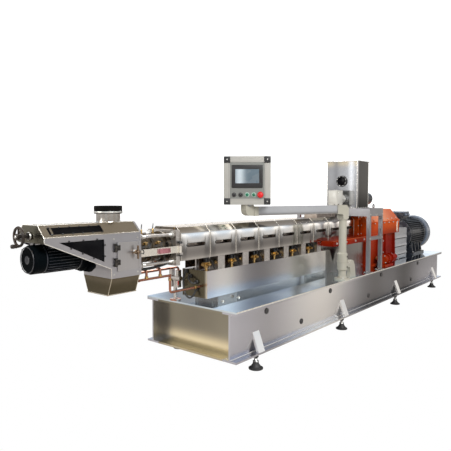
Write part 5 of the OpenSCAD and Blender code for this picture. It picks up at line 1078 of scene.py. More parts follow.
@dataclass
class Skid(Assembly):
    """The base frame: plugs in the beams' holes, weld beads, foot fixings and the deck's bolts."""

    deck_x: float = 1.97
    deck_y: float = 0.375
    deck_z: float = 0.4
    floor_clear: float = 0.1
    beam_y: float = 0.323
    upper: tuple[float, ...] = (0.093, 0.309, 0.563, 0.821)
    lower: tuple[float, ...] = (0.201, 0.492, 0.769)
    foot_first: float = 0.252
    foot_last: float = 0.199
    foot_edge: float = 0.046

    def plugs(self) -> None:
        """Sets a dark ring in each hole of the side beams: a black rubber plug that also stands in for the
        shade inside the beam.
        """
        profile = [(0.0125, -0.004), (0.0185, -0.004), (0.0195, -0.002), (0.0185, 0.0), (0.0135, 0.0006)]
        places = [(share, self.deck_z - 0.063) for share in self.upper]
        places += [(share, self.floor_clear + 0.086) for share in self.lower]
        outer = self.beam_y + 0.0052
        for y, label in ((-outer, "front"), (outer + 0.004, "rear")):
            spots = [(-self.deck_x + share * 2 * self.deck_x, y, z) for share, z in places]
            ring = Shop.turned(profile, ORIGIN, Axis.Y, 24)
            self.book(f"hole_rings_{label}", Shop.each(ring, spots), "cap black")

    def beads(self) -> None:
        """Runs a small weld bead along the webs, where they meet the flanges."""
        web, steps = 0.005, 24
        length = 2 * self.deck_x - 0.008
        for side, label in ((-1, "front"), (1, "rear")):
            y = side * (self.beam_y + web + 0.0015)
            made = []
            for z in (self.floor_clear + 0.0135, self.deck_z - 0.0235):
                route = [(-self.deck_x + 0.004 + k * length / steps, y + 0.0006 * (k % 2), z)
                    for k in range(steps + 1)]
                made.append(Shop.pipe(route, 0.003, 8))
            self.book(f"weld_beads_{label}", made, "brace")

    def feet(self) -> None:
        """Adds the pads' grip rings, the stems' washers and their threads."""
        step = (2 * self.deck_x - self.foot_first - self.foot_last) / 3
        grip = [(0.038, 0.0002), (0.0446, 0.0012), (0.0452, 0.0045), (0.0446, 0.0082), (0.041, 0.0092)]
        washer = [(0.011, 0.0462), (0.0185, 0.0462), (0.0195, 0.048), (0.0185, 0.0498), (0.0105, 0.0498)]
        thread = [(0.0104, 0.05)] + [(0.0104 + 0.0007 * (n % 2), 0.0512 + 0.0012 * n) for n in range(17)]
        y = self.deck_y - self.foot_edge
        places = list(product([-self.deck_x + self.foot_first + k * step for k in range(4)], (-y, y), (0,)))
        stem = Shop.join([Shop.turned(washer, ORIGIN, Axis.Z, 28), Shop.turned(thread, ORIGIN, Axis.Z, 20)])
        self.book("foot_grips", Shop.each(Shop.turned(grip, ORIGIN, Axis.Z, 40), places), "pad")
        self.book("foot_stems", Shop.each(stem, places), "bolt")

    def deck_bolts(self) -> None:
        """Bolts the beam's stands and the gearbox to the deck, and lays the deck's bright edges, strips of
        painted highlight.
        """
        z = self.deck_z
        places = [*product((-1.79, -1.63), (-0.125, 0.125), (z,)),
            *product((0.226, 0.906), (-0.2, 0.2), (z + 0.014,))]
        self.bolts("deck_bolts", places, Axis.Z, 0.009)
        reach, thick = self.deck_x - 0.002, 0.0012
        lips = [Shop.block((-reach, y, z - 0.008), (reach, y + thick, z - 0.0006), 0.0005, 1)
                for y in (-self.deck_y - thick, self.deck_y)]
        self.book("deck_edge", lips, "seam")

    def build(self) -> None:
        """Builds every piece of the skid."""
        self.plugs()
        self.beads()
        self.feet()
        self.deck_bolts()


# Barrel covers


@dataclass
class Covers(Assembly):
    """The barrel's pressed covers: bent shoulders, crowned faces, end lips and hand slots."""

    first_x: float = -2.154
    pitch: float = 0.25
    gap: float = 0.003
    half_w: float = 0.122
    low_z: float = 0.69
    top_z: float = 0.881
    chamfer: float = 0.036
    sheet: float = 0.003
    lip: float = 0.014
    slot_l: float = 0.152
    slot_h: float = 0.02
    slot_z: float = 0.777
    crown: float = 0.0046
    roll: float = 0.0009
    block: Flat = (-0.493, -0.157)

    def bend(self, centre: Flat, radius: float, start: float) -> list[Flat]:
        """Points on a bend of 45 degrees, clockwise from a start in degrees, in Y and Z."""
        return circle(centre, radius, [math.radians(start - 45 * k / 4) for k in range(5)])

    def section(self, inset: float, radius: float) -> list[Flat]:
        """The cover's outer line from its lower edge over the shoulder to the middle.

        Args:
            inset: how far inside the outer face the line runs.
            radius: the radius of its two bends.

        Returns:
            Points in Y and Z.
        """
        w, top, k = self.half_w - inset, self.top_z - inset, self.chamfer - inset * (2 - math.sqrt(2))
        reach = radius * math.tan(math.radians(22.5))
        side = [(-w, self.low_z + (top - k - reach - self.low_z) * n / 28) for n in range(28)]
        lower = self.bend((-w + radius, top - k - reach), radius, 180)
        upper = self.bend((-w + k + reach, top - radius), radius, 135)
        over = [(-w + k + reach + (w - k - reach - 0.0003) * n / 5, top) for n in range(1, 6)]
        return side + lower + upper + over

    def shell(self, stations: Sequence[float], start: float, end: float) -> Piece:
        """A length of the bent sheet.

        Args:
            stations: places along X where its skin has edges.
            start: how far inside the cover's face it begins.
            end: how far inside it ends.

        Returns:
            The piece.
        """
        outer = self.section(start, max(0.0015, 0.007 - start))
        inner = self.section(end, max(0.0015, 0.007 - end))
        return Shop.outline(outer + inner[::-1], stations[0], stations[-1], Axis.X, stations=stations)

    def blank(self) -> tuple[Piece, Piece]:
        """The plain cover with its slot cut, and its two end lips, both with their middle at X = 0."""
        half, edge = (self.pitch - self.gap) / 2, 0.006
        inner = [(half - edge) * n / 8 for n in range(-8, 9)]
        piece = self.shell([-half, *inner, half], 0.0, self.sheet)
        face = -self.half_w
        Shop.cut(piece, Shop.outline(self.slot(22), face - 0.01, face + 0.012, Axis.Y))
        lips = [self.shell((x, x + self.sheet), self.sheet, self.lip) for x in (-half, half - self.sheet)]
        return piece, Shop.join(lips)

    def one(self, blank: Piece, lips: Piece, middle: float) -> Piece:
        """One cover of the front row.

        Args:
            blank: the plain cover that it is a copy of.
            lips: the end lips that go with it.
            middle: its middle along X.

        Returns:
            The piece, crowned, and cut out under the feed block if it reaches that far.
        """
        piece = Shop.copy(blank, (middle, 0, 0))
        half = (self.pitch - self.gap) / 2
        a, b = self.block
        if a < middle + half and middle - half < b:
            Shop.cut(piece, Shop.block((a, -0.063, self.top_z - 0.02), (b, 0.01, self.top_z + 0.01)))
        piece = Shop.join([piece, Shop.copy(lips, (middle, 0, 0))])
        side_top = self.top_z - self.chamfer
        for vertex in piece.data.vertices:
            if vertex.co.y < -self.half_w + 0.0001 and vertex.co.z < side_top:
                u = (vertex.co.x - middle) / half
                v = (vertex.co.z - (self.low_z + side_top) / 2) / (side_top - self.low_z) * 2
                across = max(0.0, 1 - u * u)
                under = (v + 0.42 - 0.2 * u * u) / 0.13
                vertex.co.y -= self.crown * across * max(0.0, 1 - v * v)
                vertex.co.y -= self.roll * math.sqrt(across) * math.exp(-under * under)
        return piece

    def slot(self, step: int) -> list[Flat]:
        """The round-ended outline of a hand slot, in X and Z.

        Args:
            step: the angle between its points, in degrees.

        Returns:
            The points.
        """
        r, half = self.slot_h / 2, self.slot_l / 2
        right = circle((half - r, self.slot_z), r, map(math.radians, range(-90, 91, step)))
        return right + circle((r - half, self.slot_z), r, map(math.radians, range(90, 271, step)))

    def rim(self) -> Piece:
        """The rolled edge round a hand slot."""
        y = -self.half_w - self.crown * 0.82
        route = [(x, y, z) for x, z in self.slot(30)]
        return Shop.pipe([*route, route[0]], 0.0011, 8)

    def edges(self, side: int) -> Piece:
        """The bright folded edges at a cover's two ends, their brightness a painted highlight.

        Args:
            side: 1 for the front row, -1 for the rear one.

        Returns:
            The piece.
        """
        end = (self.pitch - self.gap) / 2 - 0.0012
        places = [(side * y, z) for y, z in self.section(-0.0002, 0.007) if y < -0.07]
        return Shop.join([Shop.pipe([(x, y, z) for y, z in places], 0.0013, 8) for x in (-end, end)])

    def twin(self, piece: Piece) -> Piece:
        """The mirrored copy of a cover, for the rear row."""
        copy = Shop.copy(piece)
        copy.scale = (1, -1, 1)
        Shop.settle(copy)
        bpy.ops.object.mode_set(mode="EDIT")
        bpy.ops.mesh.select_all(action="SELECT")
        bpy.ops.mesh.flip_normals()
        bpy.ops.object.mode_set(mode="OBJECT")
        return copy

    def build(self) -> None:
        """Builds both rows of covers, their slot rims and the bright edges of painted highlight."""
        rear, places = [], []
        blank, lips = self.blank()
        rim, edges = self.rim(), self.edges(1)
        for number in range(1, 10):
            middle, body = self.first_x + (number - 0.5) * self.pitch, f"barrel_cover_{number}"
            places.append((middle, 0, 0))
            cover = self.one(blank, lips, middle)
            rear.append(self.twin(cover))
            self.book(f"pressed_cover_{number}", [cover], "cover", body, 40, [body])
            self.book(f"slot_rim_{number}", [Shop.copy(rim, places[-1])], "cap black", body, 60)
            self.book(f"cover_edges_{number}", [Shop.copy(edges, places[-1])], "seam", body, 60)
        Shop.scrap(blank, lips, rim, edges)
        self.book("pressed_covers_rear", rear, "cover", "rear_covers", 40, stands_for=["rear_covers"])
        self.book("cover_edges_rear", Shop.each(self.edges(-1), places), "seam", "rear_covers", 60)


# Cutter


@dataclass
class Cutter(Assembly):
    """The die-face cutter: windows, hatch, chute, exhaust, motor and handwheel."""

    x0: float = -2.9773
    x1: float = -2.4493
    wall: float = -2.6253
    half_w: float = 0.116
    sheet: float = 0.004
    top: float = 0.925
    chamfer: float = 0.052
    axis_z: float = 0.77
    lead_z: float = 0.877
    door: tuple[float, float, float, float] = (-2.5913, -2.4543, 0.683, 0.828)
    latch: Flat = (-2.4803, 0.772)
    motor_end: float = -2.9943
    wheel_x: float = -3.0303

    def slope(self, side: int, t0: float, t1: float, n0: float, n1: float) -> list[Flat]:
        """A flat shape on the roof's sloped shoulder, in Y and Z.

        Args:
            side: -1 for the front, 1 for the rear.
            t0: where it starts along the slope, from its middle upwards.
            t1: where it ends.
            n0: its near face, measured outwards from the sheet's outer face.
            n1: its far face.

        Returns:
            Four corners.
        """
        s = math.sqrt(0.5)
        cy, cz = self.half_w - self.chamfer / 2, self.top - self.chamfer / 2
        corners = ((t0, n0), (t1, n0), (t1, n1), (t0, n1))
        return [(side * (cy - t * s + n * s), cz + t * s + n * s) for t, n in corners]

    def windows(self) -> None:
        """Sets the smoked panes in the sides and the roof, and their square clips."""
        a, b, half, level = self.x0 + 0.071, self.x0 + 0.311, 0.0042, 0.8505
        inner = self.half_w - self.sheet
        spots = [(a + 0.05, level), (a + 0.125, level), (a + 0.2, level), (b + 0.0035, 0.82),
            (b + 0.0035, 0.766), (a + 0.06, 0.8175), (a + 0.12, 0.79), (a + 0.18, 0.7625)]
        pane = [(a - 0.02, 0.856), (b + 0.008, 0.856), (b + 0.008, 0.726)]
        panes, clips = [], []
        for side in (-1, 1):
            low, high = sorted((side * (inner - 0.0002), side * (inner - 0.0022)))
            panes.append(Shop.outline(pane, low, high, Axis.Y, 0.0004))
            roof = self.slope(side, -0.0235, 0.0235, -0.0062, -0.0043)
            panes.append(Shop.outline(roof, self.x0 + 0.03, self.x0 + 0.322, Axis.X))
            clip = Shop.block((-half, -0.00125, -half), (half, 0.00125, half), 0.0009)
            clips += Shop.each(clip, [(x, side * (self.half_w + 0.00135), z) for x, z in spots])
            for t in (-0.024, 0.0185):
                shape = self.slope(side, t, t + 0.0055, 0.0001, 0.0022)
                clip = Shop.outline(shape, -0.004, 0.004, Axis.X, 0.0006)
                clips += Shop.each(clip, [(self.x0 + 0.044 + k * 0.0528, 0, 0) for k in range(6)])
        self.book("hood_panes", panes, "smoked pane", "hood")
        self.book("pane_clips", clips, "cap black", "hood")

    def bends(self) -> None:
        """Lays the bright bend lines of the folded sheet and the welds at its nose and wall, their bright
        tone a painted highlight.
        """
        low, k, w, lip = self.top - self.chamfer, self.half_w - self.chamfer, self.half_w, 0.849
        start, end = self.x0 + 0.002, self.x1 - 0.001
        made = []
        for side in (-1, 1):
            y = side * w
            for a, b, radius in (((start, y, low), (end, y, low), 0.0017),
                                 ((start, side * k, self.top), (end, side * k, self.top), 0.0017),
                                 ((self.x0 + 0.003, y, 0.848), (self.wall, y, 0.699), 0.0018),
                                 ((self.wall, y, 0.652), (self.wall, y, 0.7), 0.0015)):
                made.append(Shop.pipe([a, b], radius, 8, False))
        nose = [(-w, lip), (-w, low), (-k, self.top), (k, self.top), (w, low), (w, lip)]
        made.append(Shop.pipe([(self.x0, y, z) for y, z in nose], 0.0016, 8, False))
        self.book("hood_bends", made, "seam", "hood", 60)
        screws = product((self.x1 - 0.012, self.wall + 0.016), (-w,), (0.668, 0.845))
        self.bolts("hood_screws", screws, Axis.Y, 0.0034, "hood")

    def hatch(self) -> None:
        """Finishes the hatch: folded edge, hinge screws and the latch's cap and rose."""
        a, b, low, high = self.door
        y, fold = -self.half_w - 0.0053, 0.004
        y0 = y - 0.0016
        corners = (((a, y0, low), (a + fold, y, high)), ((b - fold, y0, low), (b, y, high)),
            ((a + fold, y0, low), (b - fold, y, low + fold)),
            ((a + fold, y0, high - fold), (b - fold, y, high)))
        self.book("hatch_fold", [Shop.block(p, q, 0.0008) for p, q in corners], "door", "hood_door")
        spots = product((a + 0.004, a + 0.01), (y - 0.005,), (0.722, 0.736, 0.794, 0.808))
        self.bolts("hinge_screws", spots, Axis.Y, 0.0022, "hood_door", "dark bolt")
        x, z = self.latch
        cap = [(0.0085, 0), (0.0085, -0.003), (0.007, -0.0042), (0.0022, -0.005)]
        self.book("latch_cap", [Shop.turned(cap, (x, -0.1462, z), Axis.Y, 28)], "latch", "door_latch")
        rose = []
        for r, d in ((0.0135, 0.0005), (0.0115, 0.002)):
            step = [(r, 0), (r, -d - 0.0015), (r - 0.0015, -d - 0.0022)]
            rose.append(Shop.turned(step, (x, y - 0.0003, z), Axis.Y, 28))
        self.book("latch_rose", rose, "bolt", "hood_door")

    def chute(self) -> None:
        """Gives the chute its rolled lower rim and the welds along its edges, both pale with painted
        highlight.
        """
        low, high, half = 0.56, 0.65, 0.083
        routes = [[(x, side * self.half_w, high), (x, side * half, low + 0.003)]
                  for x, side in product((self.wall + 0.0008, self.x1 - 0.0008), (-1, 1))]
        self.book("chute_welds", [Shop.pipe(r, 0.0018, 8, False) for r in routes], "chute edge highlight", "hood", 60)
        route = loop(self.wall, self.x1, -half, half, low + 0.0035)
        self.book("chute_rim", [Shop.pipe(route, 0.0034, 12, False)], "chute edge highlight", "hood", 60)

    def exhaust(self) -> None:
        """Adds the exhaust collar's weld, its ribs in the rubber band and the hose clamp."""
        x = self.wall + 0.071
        foot = [(0.0606, 0), (0.0638, 0.0004), (0.0632, 0.0022), (0.0606, 0.0036)]
        self.book("collar_weld", [Shop.turned(foot, (x, 0, self.top), Axis.Z, 72)], "chrome", "hood")
        ribs = [(0.0704, 0.0)]
        for n in range(5):
            z = 0.0015 + n * 0.0072
            ribs += [(0.0704, z), (0.0716, z + 0.001), (0.0716, z + 0.0034), (0.0704, z + 0.0044)]
        ribs += [(0.0704, 0.0388), (0.0688, 0.0396)]
        self.book("collar_cuff", [Shop.bored(ribs, (x, 0, 0.9672), Axis.Z, 96, 0.0568)], "rubber", "hood")
        band = [(0.0722, 0), (0.0724, 0.001), (0.0724, 0.0078), (0.0722, 0.0088)]
        strap = Shop.bored(band, (x, 0, 0.9706), Axis.Z, 96, 0.0712)
        lock = Shop.block((x - 0.012, -0.0782, 0.9712), (x + 0.012, -0.0712, 0.9792), 0.0015)
        thread = [(0.0034, 0), (0.0036, 0.001), (0.0036, 0.005), (0.003, 0.006)]
        screw = Shop.turned(thread, (x + 0.012, -0.0747, 0.9752), Axis.X, 16)
        self.book("hose_clamp", [strap, lock, screw], "bolt", "hood")

    def motor(self) -> None:
        """Details the cutter's motor: end ring, screws, cooling ribs, terminal box and gland."""
        end, z = self.motor_end, self.axis_z
        ring = [(0.0644, 0), (0.0662, 0.001), (0.0662, 0.006), (0.0644, 0.007)]
        rings = Shop.each(Shop.turned(ring, ORIGIN, Axis.X, 72), [(end + x, 0, z) for x in (0.058, 0.236)])
        cap = [(0.019, 0), (0.0185, -0.0014), (0.006, -0.0022)]
        hub = Shop.turned(cap, (end - 0.0001, 0, z), Axis.X, 40)
        edge = [(0.0575, -0.0012), (0.0595, -0.0018), (0.0605, 0.0002)]
        rim = Shop.bored(edge, (end, 0, z), Axis.X, 72, 0.056)
        fins = Shop.fins((end + 0.07, -0.0011, 0.0636), (end + 0.226, 0.0011, 0.0672), 28, 6, (0, z))
        self.book("cutter_motor_fins", [*rings, hub, rim, *fins], "motor", "cutter_motor")
        screws = [(end + 0.0006, *place) for place in circle((0, z), 0.0605, (0.8, 2.37, 3.94, 5.5))]
        self.bolts("cutter_motor_screws", screws, Axis.X, 0.003, "cutter_motor", "dark bolt")
        box = Shop.block((end + 0.1, -0.034, 0.833), (end + 0.178, 0.034, 0.858), 0.004)
        lid = Shop.block((end + 0.098, -0.036, 0.8585), (end + 0.18, 0.036, 0.864), 0.0025)
        neck = [(0.008, 0), (0.0085, -0.006), (0.0062, -0.012), (0.0045, -0.018)]
        gland = Shop.turned(neck, (end + 0.139, -0.034, 0.846), Axis.Y, 18)
        self.book("cutter_motor_box", [box, lid, gland], "cowl", "cutter_motor")

    def wheel(self) -> None:
        """Shapes the handwheel's crank grip, its hub nut and the spokes' roots."""
        x, z = self.wheel_x, self.lead_z
        profile = [(0.005, 0), (0.0086, 0.0018), (0.0098, 0.009), (0.0084, 0.019), (0.0092, 0.025),
            (0.0074, 0.0272)]
        grip = Shop.turned(profile, (x - 0.0362, 0, z - 0.041), Axis.X, 32)
        profile = [(0.006, 0), (0.0105, 0.0014), (0.0142, 0.004), (0.0142, 0.009), (0.0132, 0.0105)]
        hub = Shop.turned(profile, (x - 0.0135, 0, z), Axis.X, 40)
        self.book("wheel_grip", [grip, hub], "wheel", "handwheel")
        nut = Shop.turned([(0.0064, 0), (0.0069, 0.001), (0.0069, 0.005)], (x - 0.0185, 0, z), Axis.X, 6)
        profile = [(0.0182, 0), (0.0188, 0.0012), (0.0188, 0.006), (0.017, 0.0072)]
        flange = Shop.turned(profile, (self.x0 - 0.0108, 0, z), Axis.X, 40)
        self.book("wheel_nut", [nut, flange], "bolt", "handwheel")

    def build(self) -> None:
        """Builds every piece of the cutter."""
        self.windows()
        self.bends()
        self.hatch()
        self.chute()
        self.exhaust()
        self.motor()
        self.wheel()


# Die head


@dataclass
class Head(Assembly):
    """The die head between the hood and the barrel: threads, heater bands, probes and the bar's grip."""

    head_x: float = -2.437
    plate_x: float = -2.186
    axis_z: float = 0.77
    probes: tuple[Flat, ...] = ((-2.336, 0.0), (-2.236, 0.018))

    def rods(self) -> None:
        """Cuts threads on the tie rods' ends and sets washers behind their nuts."""
        made = []
        for start, step in ((self.head_x + 0.0145, 1), (self.plate_x - 0.0145, -1)):
            washer = [(0.0182, 0), (0.0186, step * 0.0006), (0.018, step * 0.0024)]
            thread = [(0.0092 + 0.0007 * (n % 2), step * (0.0026 + 0.0014 * n)) for n in range(18)]
            end = Shop.join([Shop.turned(washer, ORIGIN, Axis.X, 28),
                Shop.turned(thread, ORIGIN, Axis.X, 18)])
            made += Shop.each(end, product((start,), (-0.095, 0.095), (0.692, 0.841)))
        self.book("tie_rod_threads", made, "bolt")

    def heaters(self) -> None:
        """Wraps the heater bands round the die body, with their clamps, terminals and leads."""
        bands, brass, leads = [], [], []
        for a, b in ((-2.403, -2.353), (-2.322, -2.252)):
            w, mid = b - a, (a + b) / 2
            profile = [(0.0768, 0), (0.0788, 0.001), (0.0788, 0.004), (0.0776, 0.0048),
                       (0.0776, w - 0.0048), (0.0788, w - 0.004), (0.0788, w - 0.001), (0.0768, w)]
            bands.append(Shop.turned(profile, (a, 0, self.axis_z), Axis.X, 72))
            for x in (mid - 0.012, mid + 0.012):
                bands.append(Shop.block((x - 0.002, -0.097, 0.7605), (x + 0.002, -0.074, 0.7795), 0.001))
            brass.append(Shop.block((mid - 0.009, -0.093, 0.796), (mid + 0.009, -0.0715, 0.812), 0.002))
            screw = [(0.0034, 0), (0.0034, 0.036), (0.0026, 0.037)]
            brass.append(Shop.turned(screw, (mid - 0.018, -0.0905, 0.77), Axis.X, 12))
            route = [(mid, -0.09, 0.805), (mid, -0.104, 0.8), (mid + 0.01, -0.106, 0.76),
                (mid + 0.03, -0.1, 0.71), (mid + 0.04, -0.085, 0.682)]
            leads.append(Shop.pipe(route, 0.0028, 10))
        self.book("heater_bands", bands, "die")
        self.book("heater_terminals", brass, "brass")
        for x, y in self.probes:
            route = [(x, y, 0.866), (x, y, 0.886), (x + 0.02, y + 0.02, 0.9), (x + 0.05, y + 0.06, 0.87),
                     (x + 0.06, y + 0.1, 0.8)]
            leads.append(Shop.pipe(route, 0.0024, 10))
        self.book("heater_leads", leads, "cable", smooth=60)
        nut = [(0.0084, 0), (0.009, 0.001), (0.009, 0.008), (0.0078, 0.009)]
        stem = [(0.0052, 0), (0.0052, 0.018), (0.0036, 0.022)]
        pair = [Shop.turned(nut, ORIGIN, Axis.Z, 6), Shop.turned(stem, (0, 0, 0.008), Axis.Z, 14)]
        places = [(x, y, 0.842) for x, y in self.probes]
        self.book("probe_fittings", Shop.each(Shop.join(pair), places), "brass")
        ring = [(self.plate_x - 0.0299, *place) for place in circle((0, self.axis_z), 0.081, turns(8, 0.39))]
        self.bolts("adaptor_bolts", ring, Axis.X, 0.0052, finish="dark bolt")

    def bar(self) -> None:
        """Ribs the clamp bar's grip, adds the black hook at its end and sets the black knobs on its pin."""
        rib = Shop.block((-0.0022, -0.1382, 0.7485), (0.0022, -0.1361, 0.7715), 0.0007)
        places = [(-2.322 + n * 0.012, 0, 0) for n in range(7)]
        self.book("grip_ribs", Shop.each(rib, places), "grip", "clamp_bar")
        upper = [(0.007, 0), (0.0128, 0.001), (0.0135, 0.006), (0.011, 0.0115), (0.004, 0.0138)]
        lower = [(0.007, 0), (0.011, -0.001), (0.011, -0.006), (0.006, -0.0085)]
        ends = ((upper, 0.7915), (lower, 0.7285))
        knobs = [Shop.turned(profile, (-2.166, -0.128, z), Axis.Z, 32) for profile, z in ends]
        self.book("pin_knobs", knobs, "cap black")
        bend = ((-0.1275, 0.76), (-0.137, 0.76), (-0.142, 0.768), (-0.138, 0.777), (-0.13, 0.778))
        hook = Shop.pipe([(-2.441, y, z) for y, z in bend], 0.0028, 10)
        self.book("bar_hook", [hook], "cap black", "clamp_bar", 60)

    def build(self) -> None:
        """Builds every piece of the die head."""
        self.rods()
        self.heaters()
        self.bar()


# Gearbox and motor


@dataclass
class Drive(Assembly):
    """Gearbox, coupling guard and main motor: bolts, bosses, covers, louvres and grilles."""

    gear: Flat = (0.18, 0.99)
    split_z: float = 0.815
    half_w: float = 0.215
    motor_x: float = 1.42
    motor_z: float = 0.62
    cowl_x: float = 1.988
    pump_axis: Flat = (-0.287, 0.462)

    def flange(self) -> None:
        """Bosses, bolts and nuts along the split flange."""
        split = self.split_z
        row = [self.gear[0] + 0.045 + n * 0.117 for n in range(7)]
        y = self.half_w - 0.0155
        boss = Shop.block((-0.015, -0.0185, 0.0004), (0.015, 0.0185, 0.019), 0.004)
        self.book("flange_bosses", Shop.each(boss, product(row, (-y, y), (split,))), "gear orange")
        y = self.half_w - 0.0115
        self.bolts("flange_bolts", product(row, (-y, y), (split + 0.019,)), Axis.Z, 0.0078)
        profile = [(0.0082, 0), (0.0088, -0.001), (0.0088, -0.009), (0.0078, -0.0098)]
        places = product(row, (-0.2195, 0.2195), (split - 0.0102,))
        self.book("flange_nuts", Shop.each(Shop.turned(profile, ORIGIN, Axis.Z, 6), places), "bolt")

    def gearbox(self) -> None:
        """Inspection covers, drain plug, lifting eyes and the oil gauge."""
        hatch = Shop.block((0.42, -0.1, 0.9302), (0.66, 0.1, 0.9405), 0.003)
        side = Shop.block((0.46, -0.1985, 0.49), (0.62, -0.1902, 0.63), 0.003)
        plug = [(0.017, 0), (0.0175, -0.003), (0.0175, -0.008), (0.0165, -0.009)]
        self.book("gear_hatches", [side, Shop.turned(plug, (0.7, -0.1902, 0.445), Axis.Y, 6)], "gear red")
        self.book("top_hatch", [hatch], "gear orange")
        places = product((0.435, 0.54, 0.645), (-0.085, 0.085), (0.9405,))
        self.bolts("top_hatch_bolts", places, Axis.Z, 0.006)
        places = product((0.473, 0.54, 0.607), (-0.1985,), (0.503, 0.617))
        self.bolts("side_hatch_bolts", places, Axis.Y, 0.006)
        collar = [(0.016, 0), (0.017, 0.002), (0.017, 0.006), (0.009, 0.011)]
        eyes = []
        for x in (0.28, 0.83):
            eyes.append(Shop.turned(collar, (x, 0, 0.9302), Axis.Z, 28))
            route = [(px, 0, z) for px, z in circle((x, 0.957), 0.018, [k * math.pi / 8 for k in range(17)])]
            eyes.append(Shop.pipe(route, 0.005, 12))
        self.book("lifting_eyes", eyes, "dark bolt", smooth=60)
        tube = Shop.block((0.9262, -0.2232, 0.708), (0.9338, -0.2196, 0.786), 0.0016)
        self.book("gauge_tube", [tube], "gauge oil")
        cap = Shop.block((0.922, -0.2245, 0), (0.938, -0.2196, 0.01), 0.0016)
        self.book("gauge_caps", Shop.each(cap, [(0, 0, 0.698), (0, 0, 0.786)]), "bolt")

    def lantern(self) -> None:
        """Bolts the bearing lantern and its shelf, and rounds the shelf's front edge."""
        spots = product((-0.43, -0.25, -0.07, 0.11), (-0.2151,), (0.667,))
        self.bolts("shelf_bolts", spots, Axis.Y, 0.0075)
        spots = product((0.104, 0.172), (-0.1602,), (0.712, 0.79, 0.866))
        self.bolts("lantern_bolts", spots, Axis.Y, 0.0048)
        edge = Shop.pipe([(-0.488, -0.2146, 0.6885), (0.178, -0.2146, 0.6885)], 0.0022, 10, False)
        self.book("shelf_edge", [edge], "gear orange", smooth=60)

    def guard(self) -> None:
        """Presses the guard's louvres outwards and screws its lid down."""
        hood = ((0.1503, 0.003), (0.1515, 0.004), (0.1585, -0.008), (0.1625, -0.027), (0.161, -0.0275),
                (0.1572, -0.009), (0.1503, 0.001))
        cheek = (*hood[:4], (0.1503, -0.027))
        made = []
        for side, n in product((-1, 1), range(3)):
            z = 0.4 + 0.02 + 0.088 * n + 0.038
            line = [(side * y, z + dz) for y, dz in hood][::side]
            made.append(Shop.outline(line, 1.0115, 1.3935, Axis.X))
            web = [(side * y, z + dz) for y, dz in cheek][::side]
            made += [Shop.outline(web, x, x + 0.002, Axis.X) for x in (1.0095, 1.3935)]
        self.book("guard_louvres", made, "guard")
        lid = Shop.block((0.9908, -0.1515, 0.7061), (1.4145, 0.1515, 0.7085), 0.001)
        self.book("guard_lid", [lid], "guard")
        spots = product((1.004, 1.2, 1.401), (-0.138, 0.138), (0.7085,))
        self.bolts("guard_screws", spots, Axis.Z, 0.0042)

    def motor(self) -> None:
        """Terminal lid, glands, foot bolts and end-shield bolts of the main motor."""
        x, z = self.motor_x, self.motor_z
        lid = Shop.block((x + 0.042, -0.0925, 0.871), (x + 0.236, 0.0925, 0.8845), 0.004)
        seam = Shop.block((x + 0.045, -0.0888, 0.826), (x + 0.233, 0.0888, 0.83), 0.001)
        neck = [(0.015, 0), (0.016, -0.004), (0.016, -0.012), (0.012, -0.016), (0.009, -0.026)]
        kinds = ((0.09, 6), (0.18, 24))
        glands = [Shop.turned(neck, (x + dx, -0.0902, 0.85), Axis.Y, sides) for dx, sides in kinds]
        self.book("terminal_lid", [lid, seam, *glands], "cowl")
        spots = product((x + 0.052, x + 0.226), (-0.08, 0.08), (0.8845,))
        self.bolts("terminal_screws", spots, Axis.Z, 0.0045)
        spots = product((1.545, 1.83), (-0.178, 0.178), (0.4202,))
        self.bolts("motor_foot_bolts", spots, Axis.Z, 0.011)
        ring = [(x + 0.0308, *place) for place in circle((0, z), 0.176, turns(8, math.pi / 8))]
        self.bolts("shield_bolts", ring, Axis.X, 0.0075, finish="dark bolt")

    def cowl(self) -> None:
        """The fan cowl's wire rings, boss, rolled band and screw."""
        x, z = self.cowl_x, self.motor_z
        steps = [k * math.pi / 16 for k in range(33)]
        wires = [Shop.pipe([(2.1112, *place) for place in circle((0, z), r, steps)], 0.0016, 8)
                 for r in (0.046, 0.078, 0.11, 0.142, 0.17)]
        boss = Shop.turned([(0.034, 0), (0.033, 0.003), (0.02, 0.0045)], (2.1101, 0, z), Axis.X, 40)
        profile = [(0.2052, 0), (0.2062, 0.0015), (0.2062, 0.012), (0.2052, 0.0135)]
        band = Shop.bored(profile, (x, 0, z), Axis.X, 96, 0.2045)
        self.book("cowl_grille", [*wires, boss, band], "cowl", smooth=50)
        self.bolts("cowl_screws", [(2.04, -0.2051, z)], Axis.Y, 0.005)

    def pump(self) -> None:
        """Bolts on the oil pump's flanges and its pipe's unions."""
        ring = circle(self.pump_axis, 0.043, (0.6, 2.2, 3.8, 5.4))
        places = [(x - 0.0001, *place) for x, place in product((0.36, 0.5455, 0.7), ring)]
        self.bolts("pump_bolts", places, Axis.X, 0.0042)
        profile = [(0.017, 0), (0.018, 0.002), (0.018, 0.012), (0.016, 0.014)]
        union = Shop.turned(profile, (0.4265, -0.215, 0.462), Axis.Y, 6)
        self.book("union", [union], "brass")

    def build(self) -> None:
        """Builds every piece of the drive."""
        self.flange()
        self.gearbox()
        self.lantern()
        self.guard()
        self.motor()
        self.cowl()
        self.pump()


# Feeder


